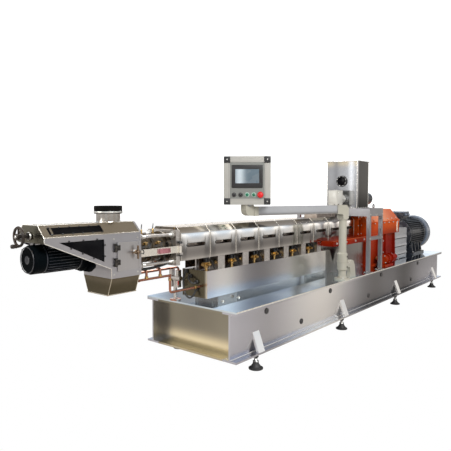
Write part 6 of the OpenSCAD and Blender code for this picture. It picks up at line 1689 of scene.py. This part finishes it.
@dataclass
class Feeder(Assembly):
    """Hopper, outlet box, feeder drive and their stand: rims, seams, sight glass, fins and plates."""

    x: Flat = (-0.07, 0.17)
    y: float = -0.077
    half_w: float = 0.143
    table_z: float = 0.953
    top_z: float = 1.373
    glass_z: float = 1.193
    screw_z: float = 1.035
    legs: Flat = (-0.11, 0.15)
    motor_x: float = 0.241
    motor_r: float = 0.062

    def hopper(self) -> None:
        """Rolls the hopper's rim, welds its corners and bolts its foot flange to the table; rim and welds
        are near-white, a painted highlight.
        """
        (a, b), low, high = self.x, self.y - self.half_w, self.y + self.half_w
        roll, wide, table = 0.006, 0.016, self.table_z
        route = loop(a - roll, b + roll, low - roll, high + roll, self.top_z - 0.003)
        made = [Shop.pipe(route, 0.0042, 12, False)]
        for x, y in ((a, low), (b, low), (b, high), (a, high)):
            made.append(Shop.pipe([(x, y, table + 0.001), (x, y, self.top_z - 0.007)], 0.0021, 10, False))
        self.book("hopper_rim", made, "hopper edge", smooth=60)
        strips = ((a - wide, low - wide, a - 0.0004, high + wide),
            (b + 0.0004, low - wide, b + roll, high + wide), (a, low - wide, b, low - 0.0004),
            (a, high + 0.0004, b, high + wide))
        flange = [Shop.block((x0, y0, table + 0.0003), (x1, y1, table + 0.005), 0.0012)
            for x0, y0, x1, y1 in strips]
        self.book("hopper_flange", flange, "stand")
        row = [a + 0.02 + n * 0.05 for n in range(5)]
        spots = product(row, (low - 0.009, high + 0.009), (table + 0.005,))
        self.bolts("hopper_bolts", spots, Axis.Z, 0.0044)

    def sight(self) -> None:
        """The sight port: domed glass, a rounded clamp ring and its screws."""
        x, y, z = self.x[0] - 0.012, self.y, self.glass_z
        dome = [(0.0378, 0), (0.0372, -0.0012), (0.03, -0.0034), (0.018, -0.005), (0.004, -0.0056)]
        glass = Shop.turned(dome, (x + 0.0068, y, z), Axis.X, 48)
        self.book("sight_glass", [glass], "smoked pane", smooth=60)
        profile = [(0.0488, 0.004), (0.0496, 0.002), (0.0488, -0.0008), (0.046, -0.0024), (0.041, -0.0026),
            (0.0385, -0.001)]
        self.book("sight_ring", [Shop.bored(profile, (x, y, z), Axis.X, 64, 0.0382)], "cap black")
        spots = [(x - 0.0026, *place) for place in circle((y, z), 0.0437, turns(8, 0.39))]
        self.bolts("sight_screws", spots, Axis.X, 0.0024)

    def outlet(self) -> None:
        """The outlet box: lid, front cover and its screws, the sleeve's straps."""
        corners = (((-0.2405, -0.1215, 1.1073), (-0.1365, -0.0325, 1.1108)),
            ((-0.23, -0.1222, 1.0), (-0.15, -0.1193, 1.095)),
            ((-0.2462, -0.108, 0.998), (-0.2433, -0.046, 1.094)))
        self.book("outlet_covers", [Shop.block(p, q, 0.0012) for p, q in corners], "outlet")
        spots = product((-0.223, -0.157), (-0.1222,), (1.007, 1.088))
        self.bolts("outlet_screws", spots, Axis.Y, 0.0032)
        spots = product((-0.233, -0.144), (-0.113, -0.041), (1.1108,))
        self.bolts("outlet_lid_screws", spots, Axis.Z, 0.0032)
        profile = [(0.0393, 0), (0.0408, 0.0006), (0.0408, 0.0094), (0.0393, 0.01)]
        band = Shop.bored(profile, ORIGIN, Axis.X, 48, 0.0391)
        strap = Shop.join([band, Shop.block((0.0015, -0.047, -0.012), (0.0085, -0.04, 0.004), 0.0012)])
        places = [(x, self.y, self.screw_z) for x in (-0.132, -0.086)]
        self.book("sleeve_straps", Shop.each(strap, places), "bolt")

    def drive(self) -> None:
        """The feeder's motor: fins, terminal box with its lid and gland, and the gear case's screws."""
        x, y, r = self.motor_x, self.y, self.motor_r
        top = self.screw_z + r
        fin = ((x + 0.022, -0.0012, r - 0.002), (x + 0.166, 0.0012, r + 0.006))
        fins = Shop.fins(*fin, 26, 0, (y, self.screw_z))
        box = Shop.block((x + 0.04, y - 0.04, top + 0.0005), (x + 0.13, y + 0.04, top + 0.034), 0.005)
        lid = Shop.block((x + 0.037, y - 0.043, top + 0.0345), (x + 0.133, y + 0.043, top + 0.041), 0.003)
        neck = [(0.01, 0), (0.0105, -0.008), (0.0075, -0.014), (0.0055, -0.022)]
        gland = Shop.turned(neck, (x + 0.1, y - 0.04, top + 0.018), Axis.Y, 18)
        self.book("feeder_motor_fins", [*fins, box, lid, gland], "motor")
        spots = product((0.187, 0.233), (y - 0.0552,), (0.99, 1.08))
        self.bolts("gear_case_screws", spots, Axis.Y, 0.0048)

    def stand(self) -> None:
        """Foot plates with bolts, the stand's bolts and weld beads."""
        plate = Shop.block((-0.013, -0.029, 0.4003), (0.043, 0.029, 0.4065), 0.001)
        self.book("leg_plates", Shop.each(plate, product(self.legs, (-0.345, 0.345), (0,))), "stand")
        row = [x + dx for x, dx in product(self.legs, (-0.006, 0.036))]
        self.bolts("leg_bolts", product(row, (-0.345, 0.345), (0.4065,)), Axis.Z, 0.0052)
        spots = [*product((-0.095, 0.035, 0.165), (-0.3602,), (0.9,)),
            *product((-0.0965, 0.1665), (-0.3602,), (0.692,))]
        self.bolts("stand_bolts", spots, Axis.Y, 0.006)
        route = [(0.001, -0.3605, 0), (0.01, -0.3608, 0.0006), (0.02, -0.3604, -0.0005), (0.029, -0.3607, 0)]
        places = product(self.legs, (0,), (0.678, 0.708, 0.885))
        self.book("stand_beads", Shop.each(Shop.pipe(route, 0.0014, 8), places), "stand", smooth=60)

    def build(self) -> None:
        """Builds every piece of the feeder."""
        self.hopper()
        self.sight()
        self.outlet()
        self.drive()
        self.stand()


# Operator panel


@dataclass
class Operator(Assembly):
    """The operator panel, its arm and its post."""

    at: Flat = (-1.484271, -0.083378)
    turn: float = -54.0
    half_w: float = 0.155
    low_z: float = 1.0
    high_z: float = 1.32
    face: float = -0.045
    plate: float = -0.041
    pitch: float = 0.0435
    button_z: float = 1.066
    post: Flat = (-0.55, -0.325)
    arm_turn: float = 14.5
    screen_z: Flat = (1.112, 1.262)
    bore: float = 0.0112

    def place(self, piece: Piece) -> Piece:
        """Turns a piece modelled square on into the panel's own direction."""
        piece.rotation_euler = (0, 0, math.radians(self.turn))
        piece.location = (*self.at, 0)
        Shop.settle(piece)
        return piece

    def set(self, name: str, pieces: Sequence[Piece], finish: str, body: str = "panel",
            smooth: float = 35.0) -> None:
        """Joins, places and books pieces of the panel."""
        self.book(name, [self.place(Shop.join(pieces))], finish, body, smooth)

    def frame(self) -> None:
        """The extruded frame's grooves, the corner covers and their screws."""
        w, f, low, high = self.half_w, self.face, self.low_z, self.high_z
        inset, wide, end = 0.0315, 0.0022, 0.046
        grooves = []
        for side in (-1, 1):
            x0, x1 = sorted((side * (w - inset), side * (w - inset - wide)))
            grooves.append(Shop.block((x0, f - 0.0007, low + end), (x1, f + 0.0005, high - end), 0.0004, 1))
        for z in (low + inset, high - inset - wide):
            grooves.append(Shop.block((-w + end, f - 0.0007, z), (w - end, f + 0.0005, z + wide), 0.0004, 1))
        self.set("frame_grooves", grooves, "groove")
        half, inner = 0.0215, 0.022
        profile = [(0.0048, 0), (0.0048, -0.0012), (0.0036, -0.0026), (0.001, -0.003)]
        places = list(product((inner - w, w - inner), (f,), (low + inner, high - inner)))
        cap = Shop.block((-half, -0.0062, -half), (half, 0.001, half), 0.0055, 4)
        self.set("corner_covers", Shop.each(cap, places), "cap black")
        screw = Shop.turned(profile, (0, -0.006, 0), Axis.Y, 20)
        self.set("corner_screws", Shop.each(screw, places), "bolt")

    def back(self) -> None:
        """The door in the panel's back, its hinges and its locks."""
        w, f, low, high = self.half_w, self.face, self.low_z, self.high_z
        door = Shop.block((-w + 0.01, -f + 0.0002, low + 0.01), (w - 0.01, -f + 0.0035, high - 0.01), 0.0015)
        hinge = [(0.0055, -0.0175), (0.006, -0.0165), (0.006, 0.0165), (0.0055, 0.0175)]
        places = [(w - 0.008, -f + 0.0045, z) for z in (low + 0.06, high - 0.06)]
        self.set("panel_back", [door, *Shop.each(Shop.turned(hinge, ORIGIN, Axis.Z, 20), places)], "panel")
        lock = [(0.009, 0), (0.0095, 0.0012), (0.0095, 0.003), (0.0075, 0.0045), (0.002, 0.0048)]
        places = [(-w + 0.024, -f + 0.0035, z) for z in (low + 0.07, high - 0.07)]
        self.set("panel_locks", Shop.each(Shop.turned(lock, ORIGIN, Axis.Y, 24), places), "cap black")

    def screen(self) -> None:
        """The touch screen: rounded bezel, glass with a soft glare painted into its colour, and the sunk
        display.
        """
        y, (low, high) = self.plate, self.screen_z
        mid, half = (low + high) / 2, 0.1028
        bezel = Shop.block((-half, y - 0.0092, low - 0.001), (half, y - 0.0004, high + 0.001), 0.0052, 4)
        low, high, half = mid - 0.0455, mid + 0.0485, 0.0795
        Shop.cut(bezel, Shop.block((-half, y - 0.02, low), (half, y - 0.0078, high), 0.0015))
        self.set("screen_bezel", [bezel], "bezel")
        low, high, half = mid - 0.0454, mid + 0.0484, 0.0794
        glass = Shop.block((-half, y - 0.0081, low), (half, y - 0.0076, high), 0.0002, 1)
        self.set("screen_glass", [glass], "display")
        lamp = [(0.0016, 0), (0.0016, -0.0006), (0.001, -0.001)]
        places = [(0.0905, y - 0.0091, mid + dz) for dz in (-0.05, 0.05)]
        self.set("screen_lights", Shop.each(Shop.turned(lamp, ORIGIN, Axis.Y, 12), places), "green")
        sheet = Shop.block((-0.1149, y - 0.0011, 1.0402), (0.1149, y - 0.0004, 1.2798), 0.0004, 1)
        hole = Shop.turned([(0.0145, 0.02), (0.0145, -0.02)], ORIGIN, Axis.Y, 32)
        for cutter in Shop.each(hole, [self.button(k) for k in range(-2, 3)]):
            Shop.cut(sheet, cutter)
        self.set("front_sheet", [sheet], "front plate")

    def button(self, k: int) -> Point:
        """Where a button's axis meets the front plate, counted from the middle one."""
        return (k * self.pitch, self.plate, self.button_z)

    def rings(self, profile: Sequence[Flat], numbers: Sequence[int]) -> list[Piece]:
        """Rings round buttons, each with its bore.

        Args:
            profile: radius and height of each of a ring's edges.
            numbers: the buttons' numbers, counted from the middle one.

        Returns:
            The pieces.
        """
        piece = Shop.turned(profile, ORIGIN, Axis.Y, 40)
        Shop.cut(piece, Shop.turned([(self.bore, 0.01), (self.bore, -0.02)], ORIGIN, Axis.Y, 32))
        return Shop.each(piece, map(self.button, numbers))

    def buttons(self) -> None:
        """Rings, caps, knobs and the mushroom head, each on its own body."""
        pale = [(0.0148, -0.0002), (0.0152, -0.0024), (0.0146, -0.005), (0.0128, -0.0062)]
        dark = [(0.0148, -0.0002), (0.0152, -0.0024), (0.0146, -0.0046), (0.0126, -0.0052)]
        base = [(0.0198, -0.0001), (0.0202, -0.0003), (0.0199, -0.0006), (0.0165, -0.0007)]
        self.set("button_rings", self.rings(pale, (0, 1)), "ring")
        self.set("selector_rings", self.rings(dark, (-2, -1)), "cap black")
        self.set("stop_base", self.rings(base, (2,)), "ring")
        profile = [(0.0098, -0.008), (0.0103, -0.0105), (0.01, -0.0124), (0.0078, -0.0136), (0.003, -0.0142)]
        caps = Shop.each(Shop.turned(profile, ORIGIN, Axis.Y, 36), map(self.button, (0, 1)))
        for n, cap in enumerate(caps, 1):
            self.set(f"button_cap_{n}", [cap], "green", f"push_button_{n}", 60)
        profile = [(0.0098, -0.006), (0.0104, -0.0078), (0.0096, -0.0092)]
        handle = Shop.block((-0.0034, -0.0205, -0.0104), (0.0034, -0.009, 0.0104), 0.0018, 3)
        knob = Shop.join([Shop.turned(profile, ORIGIN, Axis.Y, 36), handle])
        mark = Shop.block((-0.0007, -0.0208, 0.0016), (0.0007, -0.0202, 0.009), 0.0002, 1)
        for n, place in enumerate(map(self.button, (-2, -1)), 1):
            self.set(f"selector_knob_{n}", [Shop.copy(knob, place)], "cap black", f"selector_{n}", 60)
            self.set(f"selector_mark_{n}", [Shop.copy(mark, place)], "guard", f"selector_{n}")
        Shop.scrap(knob, mark)
        profile = [(0.013, -0.0062), (0.0186, -0.0072), (0.0204, -0.0098), (0.0206, -0.0138),
            (0.0192, -0.0178), (0.0152, -0.0214), (0.0092, -0.0238), (0.002, -0.0246)]
        head = Shop.turned(profile, self.button(2), Axis.Y, 48)
        self.set("stop_head", [head], "red", "emergency_stop", 70)

    def along(self, distance: float, side: float, z: float) -> Point:
        """A place on the swinging arm, measured from the post's axis.

        Args:
            distance: how far it lies along the arm.
            side: how far it lies to the arm's left.
            z: its height.

        Returns:
            The place.
        """
        turn = math.radians(180 - self.arm_turn)
        ux, uy = math.cos(turn), math.sin(turn)
        return (self.post[0] + ux * distance - uy * side, self.post[1] + uy * distance + ux * side, z)

    def arm(self) -> None:
        """End bolts, seams, lower edges and the swivel collar on the swinging arm."""
        for name, half, z, radius, finish in (("arm_seams", 0.025, 0.9855, 0.0016, "arm"),
                                              ("arm_edges", 0.0244, 0.9275, 0.0024, "groove")):
            routes = [[self.along(0.098, side, z), self.along(0.89, side, z)] for side in (half, -half)]
            pipes = [Shop.pipe(route, radius, 8, False) for route in routes]
            self.book(name, pipes, finish, "swing_arm", 60)
        spots = [self.along(d, side, 0.9902) for d, side in product((0.03, 0.078), (-0.02, 0.02))]
        self.bolts("elbow_bolts", spots, Axis.Z, 0.0048, "swing_arm", "dark bolt")
        profile = [(0.03, 0), (0.0315, 0.0012), (0.0315, 0.0075), (0.0295, 0.009)]
        collar = Shop.turned(profile, (*self.at, 0.9905), Axis.Z, 48)
        self.book("swivel_collar", [collar], "arm", "swing_arm")

    def column(self) -> None:
        """The post: base bolts, flange fillet, clamp collar's screws and rubbed rings."""
        x, y = self.post
        foot = [(0.039, 0), (0.0352, 0.002), (0.0322, 0.006), (0.0304, 0.014)]
        upper = [(0.0396, 0), (0.0364, 0.0022), (0.0332, 0.0056), (0.0304, 0.01)]
        lower = [(radius, -height) for radius, height in upper]
        lip = [(0.0366, 0), (0.0384, 0.0012), (0.0384, 0.0072), (0.0366, 0.0086)]
        places = ((foot, 0.4122), (lower, 0.478), (upper, 0.604), (lip, 0.8735))
        rings = [Shop.turned(profile, (x, y, z), Axis.Z, 64) for profile, z in places]
        self.book("post_rings", rings, "post", smooth=60)
        spots = [(*place, 0.4122) for place in circle(self.post, 0.047, (0.6, 2.2, 3.75, 5.4))]
        self.bolts("post_bolts", spots, Axis.Z, 0.0062)
        spots = product((x,), (y - 0.0405,), (0.5, 0.582))
        self.bolts("collar_screws", spots, Axis.Y, 0.005, finish="dark bolt")
        line = ((0.104, 0.4), (0.1165, 0.44), (0.113, 0.475), (0.097, 0.488), (0.101, 0.4915),
            (0.117, 0.478), (0.121, 0.44), (0.109, 0.4))
        rim = Shop.outline([(x + dx, z) for dx, z in line], y - 0.0165, y + 0.0165, Axis.Y, 0.001)
        self.book("bracket_rim", [rim], "post")

    def build(self) -> None:
        """Builds every piece of the panel, arm and post."""
        self.frame()
        self.back()
        self.screen()
        self.buttons()
        self.arm()
        self.column()


# Cooling


@dataclass
class Cooling(Assembly):
    """Valves, copper pipes and cables: coils, unions, hand levers, cable tails and gland nuts."""

    first: float = -1.871
    pitch: float = 0.25
    y: float = -0.058
    beam_top: float = 0.602
    count: int = 6

    def valves(self) -> None:
        """Rings round each coil, its nut, the brass body's hexagon and its drain spout."""
        y, base, z = self.y, self.beam_top, self.beam_top + 0.048
        places = [(self.first + n * self.pitch, 0, 0) for n in range(self.count)]
        coil = [(0.0152, 0.001)]
        for low in (k * 0.0056 for k in range(5)):
            coil += [(0.0166, 0.003 + low), (0.0166, 0.006 + low), (0.0156, 0.0072 + low)]
        plug = Shop.block((-0.007, y - 0.0285, z + 0.006), (0.007, y - 0.0145, z + 0.025), 0.0025)
        head = Shop.join([Shop.turned([*coil, (0.0125, 0.0315)], (0, y, z), Axis.Z, 28), plug])
        self.book("valve_coils", Shop.each(head, places), "cap black", smooth=50)
        hexagon = [(0.0125, 0), (0.0134, 0.001), (0.0134, 0.0078), (0.0125, 0.0088)]
        neck = [(0.0118, 0), (0.0118, 0.003), (0.014, 0.0042)]
        spout = [(0.0094, 0), (0.0102, -0.001), (0.0102, -0.0052), (0.0075, -0.0062), (0.0062, -0.011)]
        union = ((0.0092, 0), (0.0102, 0.001), (0.0102, 0.009), (0.0078, 0.0098), (0.0062, 0.0165))
        brass = [Shop.turned(hexagon, (0, y, base + 0.0148), Axis.Z, 6),
                 Shop.turned(neck, (0, y, base + 0.0438), Axis.Z, 24),
                 Shop.turned(spout, (0, y - 0.0262, base + 0.036), Axis.Y, 6)]
        for side in (-1, 1):
            profile = [(radius, side * height) for radius, height in union]
            brass.append(Shop.turned(profile, (side * 0.0222, y, base + 0.036), Axis.X, 6))
        nut = [(0.0062, 0), (0.0066, 0.0008), (0.0066, 0.0048), (0.0056, 0.0058)]
        self.book("coil_nuts", Shop.each(Shop.turned(nut, (0, y, z + 0.0318), Axis.Z, 6), places), "bolt")
        self.book("valve_unions", Shop.each(Shop.join(brass), places), "brass")
        tail = Shop.pipe([(0, y - 0.0282, 0.667), (0.006, y - 0.04, 0.662), (0.022, y - 0.038, 0.635),
                          (0.042, y - 0.03, 0.612), (0.06, y - 0.02, 0.606)], 0.0028, 10)
        self.book("coil_tails", Shop.each(tail, places), "cable", smooth=60)

    def pipes(self) -> None:
        """Unions on the copper pipes and the manifold valves' handles."""
        profile = [(0.0092, -0.0065), (0.0104, -0.0055), (0.0104, 0.0055), (0.0092, 0.0065)]
        upright = ((-2.337, -0.04, 0.612), (-2.236, -0.04, 0.612), (-2.161, -0.04, 0.578),
            (-1.942, 0.1114, 0.584), (-2.337, 0.0, 0.676), (-2.236, 0.0, 0.676), (-2.387, 0.1114, 0.66))
        unions = Shop.each(Shop.turned(profile, ORIGIN, Axis.Z, 6), upright)
        unions.append(Shop.turned(profile, (-1.948, -0.04, 0.502), Axis.X, 6))
        self.book("pipe_unions", unions, "brass")
        profile = [(0.0076, 0), (0.0092, -0.001), (0.0092, -0.007), (0.0076, -0.008)]
        plug = Shop.turned(profile, (-2.3872, -0.04, 0.602), Axis.X, 6)
        self.book("pipe_plugs", [plug], "copper")
        levers = [Shop.block((-1.962, 0.0949, 0.5), (-1.958, 0.0989, 0.53), 0.0012),
                  Shop.block((-1.968, 0.1646, 0.598), (-1.914, 0.1726, 0.6012), 0.0014)]
        self.book("valve_levers", levers, "red")

    def shades(self) -> None:
        """Dark, ribbed plates between the saddles, behind the valves and on the far side, standing in for
        the shade in those gaps.
        """
        low, high = self.beam_top + 0.004, 0.701
        made, places = [], []
        for n in range(self.count):
            a = -1.909 if n == 0 else -1.741 + (n - 1) * self.pitch
            b = -1.817 + n * self.pitch
            for y in (-0.0355, 0.083):
                made.append(Shop.block((a, y, low), (b, y + 0.0025, high), 0.0008, 1))
                places += [(a + (b - a) * (k + 1) / 5, y, 0) for k in range(4)]
        rib = Shop.block((-0.004, -0.003, low + 0.004), (0.004, 0.001, high - 0.004), 0.0018)
        self.book("barrel_shades", made + Shop.each(rib, places), "shade")

    def glands(self) -> None:
        """Hexagon nuts round the cable glands on the beam's end face."""
        profile = [(0.0128, 0), (0.0136, 0.001), (0.0136, 0.006), (0.0128, 0.007)]
        places = ((0.068, 0.588), (-0.02, 0.486), (0.034, 0.56), (-0.02, 0.528))
        nut = Shop.turned(profile, (-1.9194, 0, 0), Axis.X, 6)
        self.book("gland_nuts", Shop.each(nut, [(0, *place) for place in places]), "cap black")

    def build(self) -> None:
        """Builds every piece of the cooling."""
        self.valves()
        self.pipes()
        self.shades()
        self.glands()


# Dressing of the CAD nodes


class Dressing(Assembly):
    """Gives every carried-over CAD node its finish."""

    plain: dict[str, str] = {"front_beam": "side beam", "rear_beam": "side beam", "cross_beams": "end beam",
        "deck_plate": "deck", "foot_brackets": "brace", "levelling_feet": "pad", "pedestals": "stand",
        "barrel_saddles": "machined", "barrel_segments": "barrel", "feed_port": "barrel",
        "head_frame": "machined", "die_head": "die", "head_plate": "hood", "cables": "cable",
        "gearbox_base": "gear red", "gearbox_cover": "gear orange", "gearbox_lantern": "gear red",
        "coupling_guard": "guard", "main_motor": "motor", "motor_cowl": "cowl", "motor_shaft": "machined",
        "screw_front": "machined", "screw_rear": "machined", "rear_covers": "cover", "feeder_stand": "tube",
        "feeder_outlet": "outlet", "feeder_motor": "motor", "feed_screw": "machined", "panel_post": "post",
        "panel_box": "panel", "emergency_stop": "red", "push_button_1": "green", "push_button_2": "green",
        "selector_1": "cap black", "selector_2": "cap black", "door_latch": "latch",
        "cutter_chute": "chute", "cutter_motor": "cutter motor", "knife_head": "machined",
        "handwheel": "wheel"}

    def build(self) -> None:
        """Dresses the nodes, the ones of two finishes face by face."""
        for node, finish in self.plain.items():
            self.palette.dress(node, finish)
        by = self.palette.dress_by
        by("hood_door", [("dark bolt", lambda c, n: c.y < -0.1215 and c.x < -2.576)], "door")
        # On the hood, the end face gets painted shade and the upward faces a painted reflection.
        by("cutter_hood", [("dark bolt", lambda c, n: c.y < -0.1165 and c.x < -2.59),
                           ("hood nose", lambda c, n: n.x < -0.8 and c.x < -2.97),
                           ("hood roof", lambda c, n: n.z > 0.3)], "hood")
        # The support beam's end face gets the painted shade of the beam end finish.
        by("support_beam", [("beam end", lambda c, n: n.x < -0.8 and c.x < -1.9)], "beam")
        by("swing_arm", [("post", lambda c, n: c.x > -0.65 or c.x < -1.42)], "arm")
        by("exhaust_collar", [("rubber", lambda c, n: c.z > 0.9672)], "chrome")
        by("clamp_bar", [("grip", lambda c, n: c.y < -0.1266 and c.x < -2.24)], "seam")
        by("solenoid_valves", [("cap black", lambda c, n: c.z > 0.6502)], "brass")
        by("water_pipes", [("machined", lambda c, n: -1.96 < c.x < -1.925 and c.z < 0.583)], "copper")
        by("gearbox_fittings", [("gauge white", lambda c, n: c.x > 0.915 and c.z > 0.68 and c.y < -0.2),
                                ("dark bolt", lambda c, n: c.z > 0.9)], "gear red")
        # The hopper's face toward -Y gets the painted shade of the hopper side finish.
        by("feed_hopper", [("cap black", lambda c, n: c.x < -0.0705 and abs(c.z - 1.193) < 0.055),
                           ("hopper side", lambda c, n: n.y < -0.8 and c.y < -0.2)], "hopper")
        for k in range(1, 10):
            self.palette.dress(f"barrel_cover_{k}", "cover")


def main() -> None:
    """Builds the studio and every sub-assembly, and reports each piece."""
    logging.basicConfig(level=logging.INFO, format="%(name)s: %(message)s")
    palette = Palette()
    Studio().build()
    Dressing(palette).build()
    for kind in (Skid, Covers, Cutter, Head, Drive, Feeder, Operator, Cooling):
        kind(palette).build()
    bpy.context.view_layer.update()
    Shop.clear()


if __name__ == "__main__":
    main()
